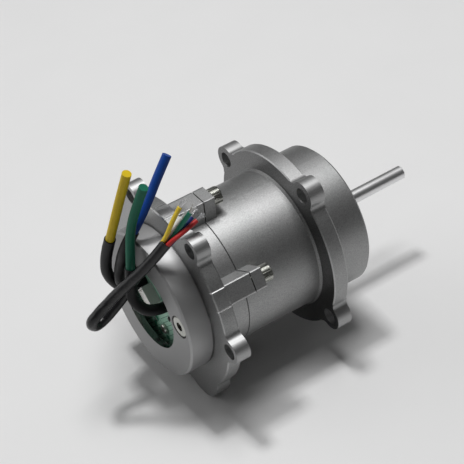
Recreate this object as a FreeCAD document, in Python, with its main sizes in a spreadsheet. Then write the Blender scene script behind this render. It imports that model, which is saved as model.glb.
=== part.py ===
"""Brushless motor with two lugged flanges, a windowed rear cap and flying leads.

Millimetres. +X runs out along the shaft, +Z is up as the motor lies on its lugs, and the
origin is on the shaft axis at the mounting face of the front flange.
"""
import FreeCAD, Part
import math
import os

import Sketcher
from FreeCAD import Placement, Rotation, Vector

doc = FreeCAD.newDocument("brushless_motor")
sheet = doc.addObject("Spreadsheet::Sheet", "Sizes")


class Size:
    """A number together with the sheet expression that it comes from."""

    def __init__(self, value, text):
        self.value = float(value)
        self.text = text

    def __add__(self, other):
        other = lift(other)
        return Size(self.value + other.value, "(%s + %s)" % (self.text, other.text))

    def __radd__(self, other):
        return lift(other) + self

    def __sub__(self, other):
        other = lift(other)
        return Size(self.value - other.value, "(%s - %s)" % (self.text, other.text))

    def __rsub__(self, other):
        return lift(other) - self

    def __mul__(self, other):
        other = lift(other)
        return Size(self.value * other.value, "(%s * %s)" % (self.text, other.text))

    def __rmul__(self, other):
        return lift(other) * self

    def __truediv__(self, other):
        other = lift(other)
        return Size(self.value / other.value, "(%s / %s)" % (self.text, other.text))

    def __neg__(self):
        return 0 - self


def root(number):
    return Size(math.sqrt(number.value), "sqrt(%s)" % number.text)


def cosine(angle):
    return Size(math.cos(math.radians(angle.value)), "cos(%s * 1 deg)" % angle.text)


def sine(angle):
    return Size(math.sin(math.radians(angle.value)), "sin(%s * 1 deg)" % angle.text)


def lift(number):
    if isinstance(number, Size):
        return number
    return Size(number, repr(float(number)))


rows = []


def size(name, value):
    """One named cell of the sheet."""
    rows.append(name)
    sheet.set("A%d" % len(rows), name)
    sheet.set("B%d" % len(rows), str(value))
    sheet.setAlias("B%d" % len(rows), name)
    return Size(value, "Sizes." + name)


# Front housing: can, lugged front flange and bell in one turned casting.
can_radius = size("can_radius", 40.0)
can_wall = size("can_wall", 4.0)
can_length = size("can_length", 47.0)
front_flange_thick = size("front_flange_thick", 9.0)
front_rim_radius = size("front_rim_radius", 52.0)
front_lug_count = size("front_lug_count", 4)
front_lug_circle = size("front_lug_circle", 52.8)
front_lug_end = size("front_lug_end", 8.0)
front_lug_phase = size("front_lug_phase", 30.0)
bell_radius = size("bell_radius", 41.0)
bell_length = size("bell_length", 24.0)
bell_wall = size("bell_wall", 6.0)
bell_chamfer = size("bell_chamfer", 1.4)
flange_blend = size("flange_blend", 1.2)
lug_hole = size("lug_hole", 4.5)
lug_blend = size("lug_blend", 4.0)
seam_chamfer = size("seam_chamfer", 0.35)

# Rear housing: lugged flange with two broad feet and a short ring that closes the can.
ring_length = size("ring_length", 15.5)
rear_flange_thick = size("rear_flange_thick", 8.5)
rear_rim_radius = size("rear_rim_radius", 55.0)
rear_lug_count = size("rear_lug_count", 4)
rear_lug_circle = size("rear_lug_circle", 56.5)
rear_lug_end = size("rear_lug_end", 7.0)
rear_lug_phase = size("rear_lug_phase", -90.0)
rear_lug_sweep = size("rear_lug_sweep", 180.0)
foot_count = size("foot_count", 2)
foot_circle = size("foot_circle", 45.5)
foot_end = size("foot_end", 16.5)
foot_phase = size("foot_phase", 150.0)
foot_sweep = size("foot_sweep", 60.0)
rear_wall = size("rear_wall", 6.0)
rim_chamfer = size("rim_chamfer", 0.6)

# Screw bosses that clamp the two housings together, in two opposite pairs.
boss_count = size("boss_count", 2)
boss_step = size("boss_step", 60.0)
boss_flat = size("boss_flat", 53.2)
boss_width = size("boss_width", 11.0)
boss_front = size("boss_front", 7.0)
boss_gap = size("boss_gap", 0.6)
boss_circle = size("boss_circle", 48.7)
screw_radius = size("screw_radius", 3.0)
screw_head_radius = size("screw_head_radius", 4.9)
screw_head_length = size("screw_head_length", 6.0)
screw_play = size("screw_play", 0.3)
thread_fit = size("thread_fit", 0.03)
head_chamfer = size("head_chamfer", 0.5)
thread_chamfer = size("thread_chamfer", 0.4)
socket_radius = size("socket_radius", 2.8)
socket_depth = size("socket_depth", 3.0)
screw_grip = size("screw_grip", 13.0)
thread_room = size("thread_room", 1.5)

# Rear cap: a cup with a round window and two sunk screws.
cap_radius = size("cap_radius", 42.0)
cap_length = size("cap_length", 14.0)
cap_wall = size("cap_wall", 4.0)
cap_plate = size("cap_plate", 4.0)
cap_chamfer = size("cap_chamfer", 1.0)
cap_groove = size("cap_groove", 0.8)
window_radius = size("window_radius", 25.5)
cap_screw_count = size("cap_screw_count", 2)
cap_screw_circle = size("cap_screw_circle", 33.4)
cap_screw_phase = size("cap_screw_phase", 76.0)
cap_head_radius = size("cap_head_radius", 6.0)
cap_head_length = size("cap_head_length", 5.7)
cap_post_radius = size("cap_post_radius", 8.4)
cap_sink_radius = size("cap_sink_radius", 6.6)
cap_sink_depth = size("cap_sink_depth", 6.0)
cap_screw_grip = size("cap_screw_grip", 5.0)

# Ball bearings, one in each end.
bearing_bore = size("bearing_bore", 4.0)
bearing_outer = size("bearing_outer", 11.0)
bearing_width = size("bearing_width", 7.0)
ring_wall_inner = size("ring_wall_inner", 2.1)
ring_wall_outer = size("ring_wall_outer", 2.1)
ball_radius = size("ball_radius", 1.98)
ball_circle = size("ball_circle", 7.5)
ball_count = size("ball_count", 7)
race_play = size("race_play", 0.05)
cage_width = size("cage_width", 5.2)
cage_wall = size("cage_wall", 1.1)
pocket_play = size("pocket_play", 0.08)
hub_wall = size("hub_wall", 4.0)
seat_lip = size("seat_lip", 3.0)
seat_fit = size("seat_fit", 0.02)
shaft_hole = size("shaft_hole", 7.0)
rear_lip = size("rear_lip", 2.0)
rear_hole = size("rear_hole", 9.0)
washer_thick = size("washer_thick", 0.8)
washer_width = size("washer_width", 1.5)

# Rotor.
shaft_body = size("shaft_body", 5.5)
shaft_reach = size("shaft_reach", 55.0)
shaft_tail = size("shaft_tail", 4.0)
shaft_chamfer = size("shaft_chamfer", 0.6)
stack_length = size("stack_length", 36.0)
stack_setback = size("stack_setback", 6.0)
rotor_radius = size("rotor_radius", 17.0)
magnet_thick = size("magnet_thick", 3.0)
magnet_count = size("magnet_count", 8)
magnet_gap = size("magnet_gap", 2.4)
plate_thick = size("plate_thick", 2.0)
plate_step = size("plate_step", 1.0)
air_gap = size("air_gap", 0.6)
press_fit = size("press_fit", 0.02)
clip_thick = size("clip_thick", 1.0)
clip_depth = size("clip_depth", 0.4)
clip_width = size("clip_width", 2.0)
clip_gap = size("clip_gap", 4.0)
clip_play = size("clip_play", 0.15)
pulse_magnet_wall = size("pulse_magnet_wall", 4.0)

# Stator.
stator_fit = size("stator_fit", 0.02)
yoke_thick = size("yoke_thick", 5.0)
tooth_count = size("tooth_count", 12)
tooth_width = size("tooth_width", 6.0)
shoe_width = size("shoe_width", 9.4)
shoe_thick = size("shoe_thick", 1.8)
insulator_thick = size("insulator_thick", 1.5)
coil_thick = size("coil_thick", 2.3)
coil_play = size("coil_play", 0.4)
coil_inset = size("coil_inset", 0.6)

# Sensor board in the cap's window.
board_radius = size("board_radius", 29.0)
board_thick = size("board_thick", 1.6)
board_depth = size("board_depth", 8.0)
board_play = size("board_play", 0.6)
board_screw_count = size("board_screw_count", 3)
board_screw_circle = size("board_screw_circle", 21.0)
board_screw_phase = size("board_screw_phase", 175.0)
board_screw_radius = size("board_screw_radius", 1.5)
board_head_radius = size("board_head_radius", 2.8)
board_head_length = size("board_head_length", 1.8)
board_socket_radius = size("board_socket_radius", 1.4)
board_socket_depth = size("board_socket_depth", 1.0)
board_screw_grip = size("board_screw_grip", 3.6)
standoff_radius = size("standoff_radius", 3.2)
chip_count = size("chip_count", 3)
chip_circle = size("chip_circle", 10.6)
chip_width = size("chip_width", 4.0)
chip_thick = size("chip_thick", 1.5)
chip_depth = size("chip_depth", 1.4)
plug_width = size("plug_width", 11.5)
plug_thick = size("plug_thick", 6.6)
plug_height = size("plug_height", 6.0)
plug_turn = size("plug_turn", 40.5)
plug_across = size("plug_across", 3.9)
plug_drop = size("plug_drop", 3.95)
plug_wall = size("plug_wall", 0.8)

# Leads.
lead_diameter = size("lead_diameter", 5.0)
sleeve_diameter = size("sleeve_diameter", 6.2)
signal_sleeve_diameter = size("signal_sleeve_diameter", 5.9)
signal_wire_diameter = size("signal_wire_diameter", 2.3)
signal_wire_pitch = size("signal_wire_pitch", 2.36)
bare_tip_length = size("bare_tip_length", 4.5)
bare_tip_diameter = size("bare_tip_diameter", 1.2)

doc.recompute()

# Stations along the shaft.
can_bore = can_radius - can_wall
seam_x = -(front_flange_thick + can_length)
rear_ring_x = seam_x - ring_length
rear_face_x = rear_ring_x - rear_flange_thick
cap_face_x = rear_face_x - cap_length
board_x = cap_face_x + board_depth
front_seat_x = bell_length - seat_lip
front_bearing_x = front_seat_x - bearing_width
rear_seat_x = rear_face_x + rear_lip
rear_bearing_x = rear_seat_x + washer_thick
rear_hub_x = rear_bearing_x + bearing_width
stack_x = seam_x + stack_setback
rotor_outer = rotor_radius + magnet_thick
tooth_tip = rotor_outer + air_gap
yoke_bore = can_bore - yoke_thick
shaft_tip_x = bell_length + shaft_reach
shaft_end_x = rear_face_x - shaft_tail

pieces = []


def new_body(name):
    body = doc.addObject("PartDesign::Body", name)
    body.Label = name
    body.AllowCompound = True
    pieces.append(body)
    return body


def origin_part(body, role):
    for feature in body.Origin.OriginFeatures:
        if feature.Role == role:
            return feature
    raise LookupError(role)


def new_sketch(body, role, along=0, up=0, turn=0, lean=0):
    """A sketch on an origin plane, moved along its normal and up its own vertical.

    It is turned about its normal, or it leans over about its own horizontal.
    """
    sketch = body.newObject("Sketcher::SketchObject", body.Name + "_sketch")
    sketch.AttachmentSupport = (origin_part(body, role), "")
    sketch.MapMode = "FlatFace"
    along, up, turn, lean = lift(along), lift(up), lift(turn), lift(lean)
    spin = Rotation(Vector(0, 0, 1), turn.value)
    if lean.value:
        spin = Rotation(Vector(1, 0, 0), lean.value)
        along, up, turn = along + up * sine(lean), up * cosine(lean), lean
    sketch.AttachmentOffset = Placement(Vector(0, up.value, along.value), spin)
    if along.text.startswith(("S", "(")):
        sketch.setExpression("AttachmentOffset.Base.z", along.text)
    if up.text.startswith(("S", "(")):
        sketch.setExpression("AttachmentOffset.Base.y", up.text)
    if turn.text.startswith(("S", "(")):
        sketch.setExpression("AttachmentOffset.Rotation.Angle", turn.text)
    return sketch


def pin_point(sketch, geo, pos, u, v):
    """Hold one point of a sketch at (u, v) from the sketch's origin."""
    for kind, axis, number in (("DistanceX", -2, u), ("DistanceY", -1, v)):
        number = lift(number)
        if number.text == "0.0":
            sketch.addConstraint(Sketcher.Constraint("PointOnObject", geo, pos, axis))
        else:
            rule = Sketcher.Constraint(kind, -1, 1, geo, pos, number.value)
            index = sketch.addConstraint(rule)
            sketch.setExpression("Constraints[%d]" % index, number.text)


def outline(sketch, points):
    """A closed run of straight lines through the points."""
    spots = [Vector(lift(u).value, lift(v).value, 0) for u, v in points]
    count = len(spots)
    lines = [Part.LineSegment(spots[i], spots[(i + 1) % count]) for i in range(count)]
    first = sketch.addGeometry(lines, False)[0]
    joints = []
    for i in range(count):
        joints.append(Sketcher.Constraint("Coincident", first + i, 2, first + (i + 1) % count, 1))
    sketch.addConstraint(joints)
    for i, (u, v) in enumerate(points):
        pin_point(sketch, first + i, 1, u, v)


def circle(sketch, u, v, radius):
    radius = lift(radius)
    middle = Vector(lift(u).value, lift(v).value, 0)
    geo = sketch.addGeometry(Part.Circle(middle, Vector(0, 0, 1), radius.value), False)
    index = sketch.addConstraint(Sketcher.Constraint("Radius", geo, radius.value))
    sketch.setExpression("Constraints[%d]" % index, radius.text)
    pin_point(sketch, geo, 3, u, v)


def tongue(sketch, base, rim, reach, end, blend):
    """A lug pointing up the sketch: a round end that blends into the flange's rim.

    Each blend arc touches the rim circle and the lug's end circle from outside.
    """
    far, near = rim + blend, end + blend
    middle_v = (far * far - near * near + reach * reach) / (reach * 2)
    middle_u = root(far * far - middle_v * middle_v)
    rim_u, rim_v = middle_u * rim / far, middle_v * rim / far
    end_u, end_v = middle_u * end / near, reach + (middle_v - reach) * end / near

    def spot(u, v):
        return Vector(lift(u).value, lift(v).value, 0)

    def arc(centre, radius, start, stop):
        """The arc that runs anticlockwise from start to stop."""
        a, b = start - centre, stop - centre
        hoop = Part.Circle(centre, Vector(0, 0, 1), radius.value)
        return Part.ArcOfCircle(hoop, math.atan2(a.y, a.x), math.atan2(b.y, b.x))

    right_end, left_end = spot(end_u, end_v), spot(-end_u, end_v)
    right_rim, left_rim = spot(rim_u, rim_v), spot(-rim_u, rim_v)
    geo = sketch.addGeometry([
        Part.LineSegment(spot(-rim_u, base), spot(rim_u, base)),
        Part.LineSegment(spot(rim_u, base), right_rim),
        arc(spot(middle_u, middle_v), blend, right_end, right_rim),
        arc(spot(0, reach), end, right_end, left_end),
        arc(spot(-middle_u, middle_v), blend, left_rim, left_end),
        Part.LineSegment(left_rim, spot(-rim_u, base)),
    ], False)[0]
    ends = ((1, 2), (1, 2), (2, 1), (1, 2), (2, 1), (1, 2))
    for i in range(6):
        after = (i + 1) % 6
        joint = Sketcher.Constraint("Coincident", geo + i, ends[i][1], geo + after, ends[after][0])
        sketch.addConstraint(joint)
    for i, (u, v) in enumerate(((-rim_u, base), (rim_u, base), (rim_u, rim_v), (end_u, end_v),
                                (-end_u, end_v), (-rim_u, rim_v))):
        pin_point(sketch, geo + i, ends[i][0], u, v)
    for kind, arc, place in (("DistanceX", 2, middle_u), ("DistanceY", 3, reach),
                             ("DistanceX", 4, -middle_u)):
        index = sketch.addConstraint(Sketcher.Constraint(kind, -1, 1, geo + arc, 3, place.value))
        sketch.setExpression("Constraints[%d]" % index, place.text)


def box(sketch, left, right, low, high):
    outline(sketch, [(left, low), (right, low), (right, high), (left, high)])


def hexagon(sketch, v, radius):
    half, rise = radius * 0.5, radius * math.sqrt(0.75)
    outline(sketch, [(radius, v), (half, v + rise), (-half, v + rise),
                     (-radius, v), (-half, v - rise), (half, v - rise)])


def bind(feature, name, number):
    number = lift(number)
    setattr(feature, name, number.value)
    if not number.text[0].isdigit():
        feature.setExpression(name, number.text)


def feature(body, kind, sketch):
    made = body.newObject("PartDesign::" + kind, body.Name + "_" + kind.lower())
    made.Profile = sketch
    body.Tip = made
    return made


def turn(body, points, kind="Revolution", up=0, lean=0):
    """Revolve a profile of (station, radius) points about the shaft line, or a line beside it."""
    sketch = new_sketch(body, "XZ_Plane", up=up, lean=lean)
    outline(sketch, points)
    made = feature(body, kind, sketch)
    made.ReferenceAxis = (sketch, ["H_Axis"])
    made.Angle = 360
    return made


def pad(body, sketch, length, backwards=False):
    made = feature(body, "Pad", sketch)
    bind(made, "Length", length)
    made.Reversed = backwards
    return made


def pocket(body, sketch, length, forwards=False):
    """Cut from the sketch towards -X, or towards +X when forwards."""
    made = feature(body, "Pocket", sketch)
    bind(made, "Length", length)
    made.Reversed = forwards
    return made


def ring_of(body, originals, count, sweep=360):
    made = body.newObject("PartDesign::PolarPattern", body.Name + "_ring")
    made.Originals = originals if isinstance(originals, list) else [originals]
    made.Axis = (origin_part(body, "X_Axis"), [""])
    bind(made, "Angle", sweep)
    made.Occurrences = int(lift(count).value)
    if isinstance(count, Size):
        made.setExpression("Occurrences", count.text)
    body.Tip = made
    return made


def hole_ring(body, station, distance, radius, depth, count, phase=0, forwards=False, sweep=360):
    sketch = new_sketch(body, "YZ_Plane", along=station, turn=phase)
    circle(sketch, 0, distance, radius)
    ring_of(body, pocket(body, sketch, depth, forwards), count, sweep)


def boss_rings(body, station, length):
    """One pair of opposite bosses on top and bottom of the can, and one pair a step further round."""
    half = boss_width * 0.5
    for phase in (0, boss_step):
        sketch = new_sketch(body, "YZ_Plane", along=station, turn=phase)
        box(sketch, -half, half, can_radius - can_wall * 0.5, boss_flat)
        ring_of(body, pad(body, sketch, length), boss_count)


# Front housing.
front = new_body("front_housing")
turn(front, [
    (seam_x, can_bore),
    (seam_x, can_radius - seam_chamfer),
    (seam_x + seam_chamfer, can_radius),
    (-front_flange_thick - flange_blend, can_radius),
    (-front_flange_thick, can_radius + flange_blend),
    (-front_flange_thick, front_rim_radius - rim_chamfer),
    (-front_flange_thick + rim_chamfer, front_rim_radius),
    (-rim_chamfer, front_rim_radius),
    (0, front_rim_radius - rim_chamfer),
    (0, bell_radius),
    (bell_length - bell_chamfer, bell_radius),
    (bell_length, bell_radius - bell_chamfer),
    (bell_length, shaft_hole),
    (front_seat_x, shaft_hole),
    (front_seat_x, bearing_outer + seat_fit),
    (front_bearing_x, bearing_outer + seat_fit),
    (front_bearing_x, bearing_outer + hub_wall),
    (bell_length - bell_wall, bearing_outer + hub_wall),
    (bell_length - bell_wall, can_bore),
])
boss_rings(front, seam_x + boss_gap, boss_front - boss_gap)
lug = new_sketch(front, "YZ_Plane", along=-front_flange_thick, turn=front_lug_phase)
tongue(lug, bell_radius, front_rim_radius, front_lug_circle, front_lug_end, lug_blend)
ring_of(front, pad(front, lug, front_flange_thick), front_lug_count)
hole_ring(front, 0, front_lug_circle, lug_hole, front_flange_thick, front_lug_count, front_lug_phase)
for phase in (0, boss_step):
    hole_ring(front, seam_x + boss_front, boss_circle, screw_radius + screw_play, boss_front,
              boss_count, phase)

# Rear housing.
rear = new_body("rear_housing")
turn(rear, [
    (rear_face_x, rear_hole),
    (rear_face_x, rear_rim_radius - rim_chamfer),
    (rear_face_x + rim_chamfer, rear_rim_radius),
    (rear_ring_x - rim_chamfer, rear_rim_radius),
    (rear_ring_x, rear_rim_radius - rim_chamfer),
    (rear_ring_x, can_radius),
    (seam_x - seam_chamfer, can_radius),
    (seam_x, can_radius - seam_chamfer),
    (seam_x, can_bore),
    (rear_face_x + rear_wall, can_bore),
    (rear_face_x + rear_wall, bearing_outer + hub_wall),
    (rear_hub_x, bearing_outer + hub_wall),
    (rear_hub_x, bearing_outer + seat_fit),
    (rear_seat_x, bearing_outer + seat_fit),
    (rear_seat_x, rear_hole),
])
boss_rings(rear, rear_ring_x, ring_length)
lug = new_sketch(rear, "YZ_Plane", along=rear_face_x, turn=rear_lug_phase)
tongue(lug, cap_radius, rear_rim_radius, rear_lug_circle, rear_lug_end, lug_blend)
ring_of(rear, pad(rear, lug, rear_flange_thick), rear_lug_count, rear_lug_sweep)
foot = new_sketch(rear, "YZ_Plane", along=rear_face_x, turn=foot_phase)
tongue(foot, foot_circle - foot_end, rear_rim_radius, foot_circle, foot_end, lug_blend)
ring_of(rear, pad(rear, foot, rear_flange_thick), foot_count, foot_sweep)
post = new_sketch(rear, "YZ_Plane", along=rear_face_x, turn=board_screw_phase)
circle(post, 0, board_screw_circle, standoff_radius)
standoff_height = cap_length - board_depth - board_thick
ring_of(rear, pad(rear, post, standoff_height, True), board_screw_count)
hole_ring(rear, rear_ring_x, rear_lug_circle, lug_hole, rear_flange_thick, rear_lug_count, rear_lug_phase,
          sweep=rear_lug_sweep)
for phase in (0, boss_step):
    hole_ring(rear, seam_x, boss_circle, screw_radius + thread_fit, screw_grip + thread_room,
              boss_count, phase)
hole_ring(rear, rear_face_x + rear_wall, cap_screw_circle, screw_radius + thread_fit, rear_wall,
          cap_screw_count, cap_screw_phase)
hole_ring(rear, board_x + board_thick, board_screw_circle, board_screw_radius + thread_fit,
          board_screw_grip + board_play, board_screw_count, board_screw_phase, True)

# Rear cap.
cap = new_body("rear_cap")
turn(cap, [
    (cap_face_x, window_radius),
    (cap_face_x, cap_radius - cap_chamfer),
    (cap_face_x + cap_chamfer, cap_radius),
    (rear_face_x - cap_groove, cap_radius),
    (rear_face_x - cap_groove, cap_radius - cap_groove),
    (rear_face_x, cap_radius - cap_groove),
    (rear_face_x, cap_radius - cap_wall),
    (cap_face_x + cap_plate, cap_radius - cap_wall),
    (cap_face_x + cap_plate, window_radius),
])
post = new_sketch(cap, "YZ_Plane", along=rear_face_x, turn=cap_screw_phase)
circle(post, 0, cap_screw_circle, cap_post_radius)
ring_of(cap, pad(cap, post, cap_length - cap_plate, True), cap_screw_count)
sink = new_sketch(cap, "YZ_Plane", along=cap_face_x, turn=cap_screw_phase)
circle(sink, 0, cap_screw_circle, cap_sink_radius)
ring_of(cap, pocket(cap, sink, cap_sink_depth, True), cap_screw_count)
hole_ring(cap, rear_face_x, cap_screw_circle, screw_radius + screw_play, cap_length, cap_screw_count,
          cap_screw_phase)
opening = new_sketch(cap, "YZ_Plane", along=rear_face_x)
circle(opening, 0, 0, window_radius)
pocket(cap, opening, cap_length)


def screws(name, seat, distance, count, phase, head, head_length, shank, grip, socket, depth, way,
           steps=(0,)):
    """Rings of hexagon socket screws whose heads sit on the seat and point along way."""
    body = new_body(name)
    top = seat + head_length * way
    tip = seat - grip * way
    for step in steps:
        blank = turn(body, [
            (tip, 0),
            (tip, shank - thread_chamfer),
            (tip + thread_chamfer * way, shank),
            (seat, shank),
            (seat, head),
            (top - head_chamfer * way, head),
            (top, head - head_chamfer),
            (top, 0),
        ], up=distance, lean=step)
        key = new_sketch(body, "YZ_Plane", along=top, turn=step)
        hexagon(key, distance, socket)
        ring_of(body, [blank, pocket(body, key, depth, way < 0)], count)
    phase = lift(phase)
    body.Placement = Placement(Vector(), Rotation(Vector(1, 0, 0), phase.value))
    body.setExpression("Placement.Rotation.Angle", phase.text)


screws("housing_screws", seam_x + boss_front, boss_circle, boss_count, 0, screw_head_radius,
       screw_head_length, screw_radius, boss_front + screw_grip, socket_radius, socket_depth, 1,
       (0, boss_step))
screws("cap_screws", cap_face_x + cap_sink_depth, cap_screw_circle, cap_screw_count, cap_screw_phase,
       cap_head_radius, cap_head_length, screw_radius, cap_length - cap_sink_depth + cap_screw_grip,
       socket_radius, socket_depth, -1)
screws("board_screws", board_x, board_screw_circle, board_screw_count, board_screw_phase,
       board_head_radius, board_head_length, board_screw_radius, board_thick + board_screw_grip,
       board_socket_radius, board_socket_depth, -1)

# Stator: laminated core, an insulator on each end and one coil on each tooth.
tooth_base = tooth_tip + shoe_thick


def toothed_ring(name, station, thick, outer, bore, stem, tip):
    body = new_body(name)
    hoop = new_sketch(body, "YZ_Plane", along=station)
    circle(hoop, 0, 0, outer)
    circle(hoop, 0, 0, bore)
    pad(body, hoop, thick)
    tooth = new_sketch(body, "YZ_Plane", along=station)
    box(tooth, stem * -0.5, stem * 0.5, tip, bore + yoke_thick * 0.3)
    ring_of(body, pad(body, tooth, thick), tooth_count)
    return body


core = toothed_ring("stator_core", stack_x, stack_length, can_bore - stator_fit, yoke_bore,
                    tooth_width, tooth_tip + shoe_thick * 0.5)
shoe = new_sketch(core, "YZ_Plane", along=stack_x)
box(shoe, shoe_width * -0.5, shoe_width * 0.5, tooth_tip - shoe_thick * 0.5, tooth_base)
ring_of(core, pad(core, shoe, stack_length), tooth_count)
throat = new_sketch(core, "YZ_Plane", along=stack_x)
circle(throat, 0, 0, tooth_tip)
pocket(core, throat, stack_length, True)
cover = tooth_width + coil_play
toothed_ring("insulator_rear", stack_x - insulator_thick, insulator_thick, yoke_bore + yoke_thick * 0.8,
             yoke_bore, cover, tooth_base - coil_inset)
toothed_ring("insulator_front", stack_x + stack_length, insulator_thick, yoke_bore + yoke_thick * 0.8,
             yoke_bore, cover, tooth_base - coil_inset)

coils = new_body("stator_coils")
coil_base = tooth_base + coil_inset
coil_deep = yoke_bore - coil_inset - coil_base
coil_half = cover * 0.5 + coil_play * 0.5
coil_run = stack_length + insulator_thick * 2


def obround(sketch, middle, run, half):
    """A long hole outline along the sketch's horizontal, with round ends."""
    middle, run, half = lift(middle), lift(run), lift(half)
    a = middle.value - run.value * 0.5
    b = middle.value + run.value * 0.5
    r = half.value
    geo = sketch.addGeometry([
        Part.LineSegment(Vector(a, -r, 0), Vector(b, -r, 0)),
        Part.Arc(Vector(b, -r, 0), Vector(b + r, 0, 0), Vector(b, r, 0)),
        Part.LineSegment(Vector(b, r, 0), Vector(a, r, 0)),
        Part.Arc(Vector(a, r, 0), Vector(a - r, 0, 0), Vector(a, -r, 0)),
    ], False)[0]
    for i in range(4):
        joint = Sketcher.Constraint("Coincident", geo + i, 2, geo + (i + 1) % 4, 1)
        sketch.addConstraint(joint)
    pin_point(sketch, geo, 1, middle - run * 0.5, -half)
    pin_point(sketch, geo, 2, middle + run * 0.5, -half)
    pin_point(sketch, geo + 2, 1, middle + run * 0.5, half)
    pin_point(sketch, geo + 2, 2, middle - run * 0.5, half)
    for end, place in ((geo + 1, middle + run * 0.5), (geo + 3, middle - run * 0.5)):
        index = sketch.addConstraint(Sketcher.Constraint("DistanceX", -1, 1, end, 3, place.value))
        sketch.setExpression("Constraints[%d]" % index, place.text)


winding = new_sketch(coils, "XY_Plane", along=coil_base)
coil_middle = stack_x + stack_length * 0.5
obround(winding, coil_middle, coil_run, coil_half)
obround(winding, coil_middle, coil_run, coil_half + coil_thick)
ring_of(coils, pad(coils, winding, coil_deep), tooth_count)


def bearing(name, station):
    """Inner ring, outer ring, balls and cage, all about the same centre plane."""
    centre = station + bearing_width * 0.5
    race = ball_radius + race_play

    def ring(label, low, high):
        body = new_body(label)
        turn(body, [(station, low), (station + bearing_width, low),
                    (station + bearing_width, high), (station, high)])
        track = new_sketch(body, "XZ_Plane")
        circle(track, centre, ball_circle, race)
        cut = feature(body, "Groove", track)
        cut.ReferenceAxis = (track, ["H_Axis"])
        cut.Angle = 360

    ring(name + "_bearing_inner", bearing_bore + press_fit, bearing_bore + ring_wall_inner)
    ring(name + "_bearing_outer", bearing_outer - ring_wall_outer, bearing_outer)
    balls = new_body(name + "_bearing_balls")
    ball = balls.newObject("PartDesign::AdditiveSphere", name + "_ball")
    bind(ball, "Radius", ball_radius)
    ball.AttachmentSupport = (origin_part(balls, "XY_Plane"), "")
    ball.MapMode = "FlatFace"
    ball.AttachmentOffset = Placement(Vector(centre.value, 0, ball_circle.value), Rotation())
    ball.setExpression("AttachmentOffset.Base.x", centre.text)
    ball.setExpression("AttachmentOffset.Base.z", ball_circle.text)
    balls.Tip = ball
    ring_of(balls, ball, ball_count)
    cage = new_body(name + "_bearing_cage")
    half = cage_width * 0.5
    low = ball_circle - cage_wall * 0.5
    high = ball_circle + cage_wall * 0.5
    turn(cage, [(centre - half, low), (centre + half, low), (centre + half, high), (centre - half, high)])
    hole = new_sketch(cage, "XY_Plane", along=high + cage_wall)
    circle(hole, centre, 0, ball_radius + pocket_play)
    ring_of(cage, pocket(cage, hole, cage_wall * 3), ball_count)


bearing("front", front_bearing_x)
bearing("rear", rear_bearing_x)

washer = new_body("preload_washer")
turn(washer, [
    (rear_seat_x, bearing_outer - washer_width),
    (rear_bearing_x, bearing_outer - washer_width),
    (rear_bearing_x, bearing_outer),
    (rear_seat_x, bearing_outer),
])

# Rotor.
shaft = new_body("shaft")
clip_x = front_seat_x
turn(shaft, [
    (shaft_end_x, 0),
    (shaft_end_x, bearing_bore - shaft_chamfer),
    (shaft_end_x + shaft_chamfer, bearing_bore),
    (rear_hub_x, bearing_bore),
    (rear_hub_x, shaft_body),
    (front_bearing_x, shaft_body),
    (front_bearing_x, bearing_bore),
    (clip_x, bearing_bore),
    (clip_x, bearing_bore - clip_depth),
    (clip_x + clip_thick + clip_play, bearing_bore - clip_depth),
    (clip_x + clip_thick + clip_play, bearing_bore),
    (shaft_tip_x - shaft_chamfer, bearing_bore),
    (shaft_tip_x, bearing_bore - shaft_chamfer),
    (shaft_tip_x, 0),
])

clip = new_body("shaft_clip")
ring_sketch = new_sketch(clip, "YZ_Plane", along=clip_x)
circle(ring_sketch, 0, 0, bearing_bore - clip_depth + clip_width)
circle(ring_sketch, 0, 0, bearing_bore - clip_depth + press_fit)
pad(clip, ring_sketch, clip_thick)
mouth = new_sketch(clip, "YZ_Plane", along=clip_x)
box(mouth, clip_gap * -0.5, clip_gap * 0.5, bearing_bore * -2, 0)
pocket(clip, mouth, clip_thick, True)

rotor = new_body("rotor_core")
turn(rotor, [
    (stack_x, shaft_body + press_fit),
    (stack_x + stack_length, shaft_body + press_fit),
    (stack_x + stack_length, rotor_radius),
    (stack_x, rotor_radius),
])

magnets = new_body("rotor_magnets")
turn(magnets, [
    (stack_x, rotor_radius + press_fit),
    (stack_x + stack_length, rotor_radius + press_fit),
    (stack_x + stack_length, rotor_outer),
    (stack_x, rotor_outer),
])
split = new_sketch(magnets, "YZ_Plane", along=stack_x)
box(split, magnet_gap * -0.5, magnet_gap * 0.5, rotor_radius * 0.5, rotor_outer + magnet_thick)
ring_of(magnets, pocket(magnets, split, stack_length, True), magnet_count)


def end_plate(name, station):
    body = new_body(name)
    turn(body, [
        (station, shaft_body + press_fit),
        (station + plate_thick, shaft_body + press_fit),
        (station + plate_thick, rotor_outer - plate_step),
        (station, rotor_outer - plate_step),
    ])


end_plate("rotor_plate_rear", stack_x - plate_thick)
end_plate("rotor_plate_front", stack_x + stack_length)

pulse = new_body("sensor_magnet")
turn(pulse, [
    (shaft_end_x, bearing_bore + press_fit),
    (rear_face_x, bearing_bore + press_fit),
    (rear_face_x, bearing_bore + pulse_magnet_wall),
    (shaft_end_x, bearing_bore + pulse_magnet_wall),
])

# Sensor board and what is soldered to it.
board = new_body("sensor_board")
disc = new_sketch(board, "YZ_Plane", along=board_x)
circle(disc, 0, 0, board_radius)
pad(board, disc, board_thick)
hole_ring(board, board_x + board_thick, cap_screw_circle, cap_post_radius + board_play, board_thick,
          cap_screw_count, cap_screw_phase)
hole_ring(board, board_x + board_thick, board_screw_circle, board_screw_radius + screw_play, board_thick,
          board_screw_count, board_screw_phase)

chips = new_body("hall_sensors")
chip = new_sketch(chips, "YZ_Plane", along=board_x + board_thick)
box(chip, chip_width * -0.5, chip_width * 0.5, chip_circle - chip_thick * 0.5,
    chip_circle + chip_thick * 0.5)
ring_of(chips, pad(chips, chip, chip_depth), chip_count)

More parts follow.
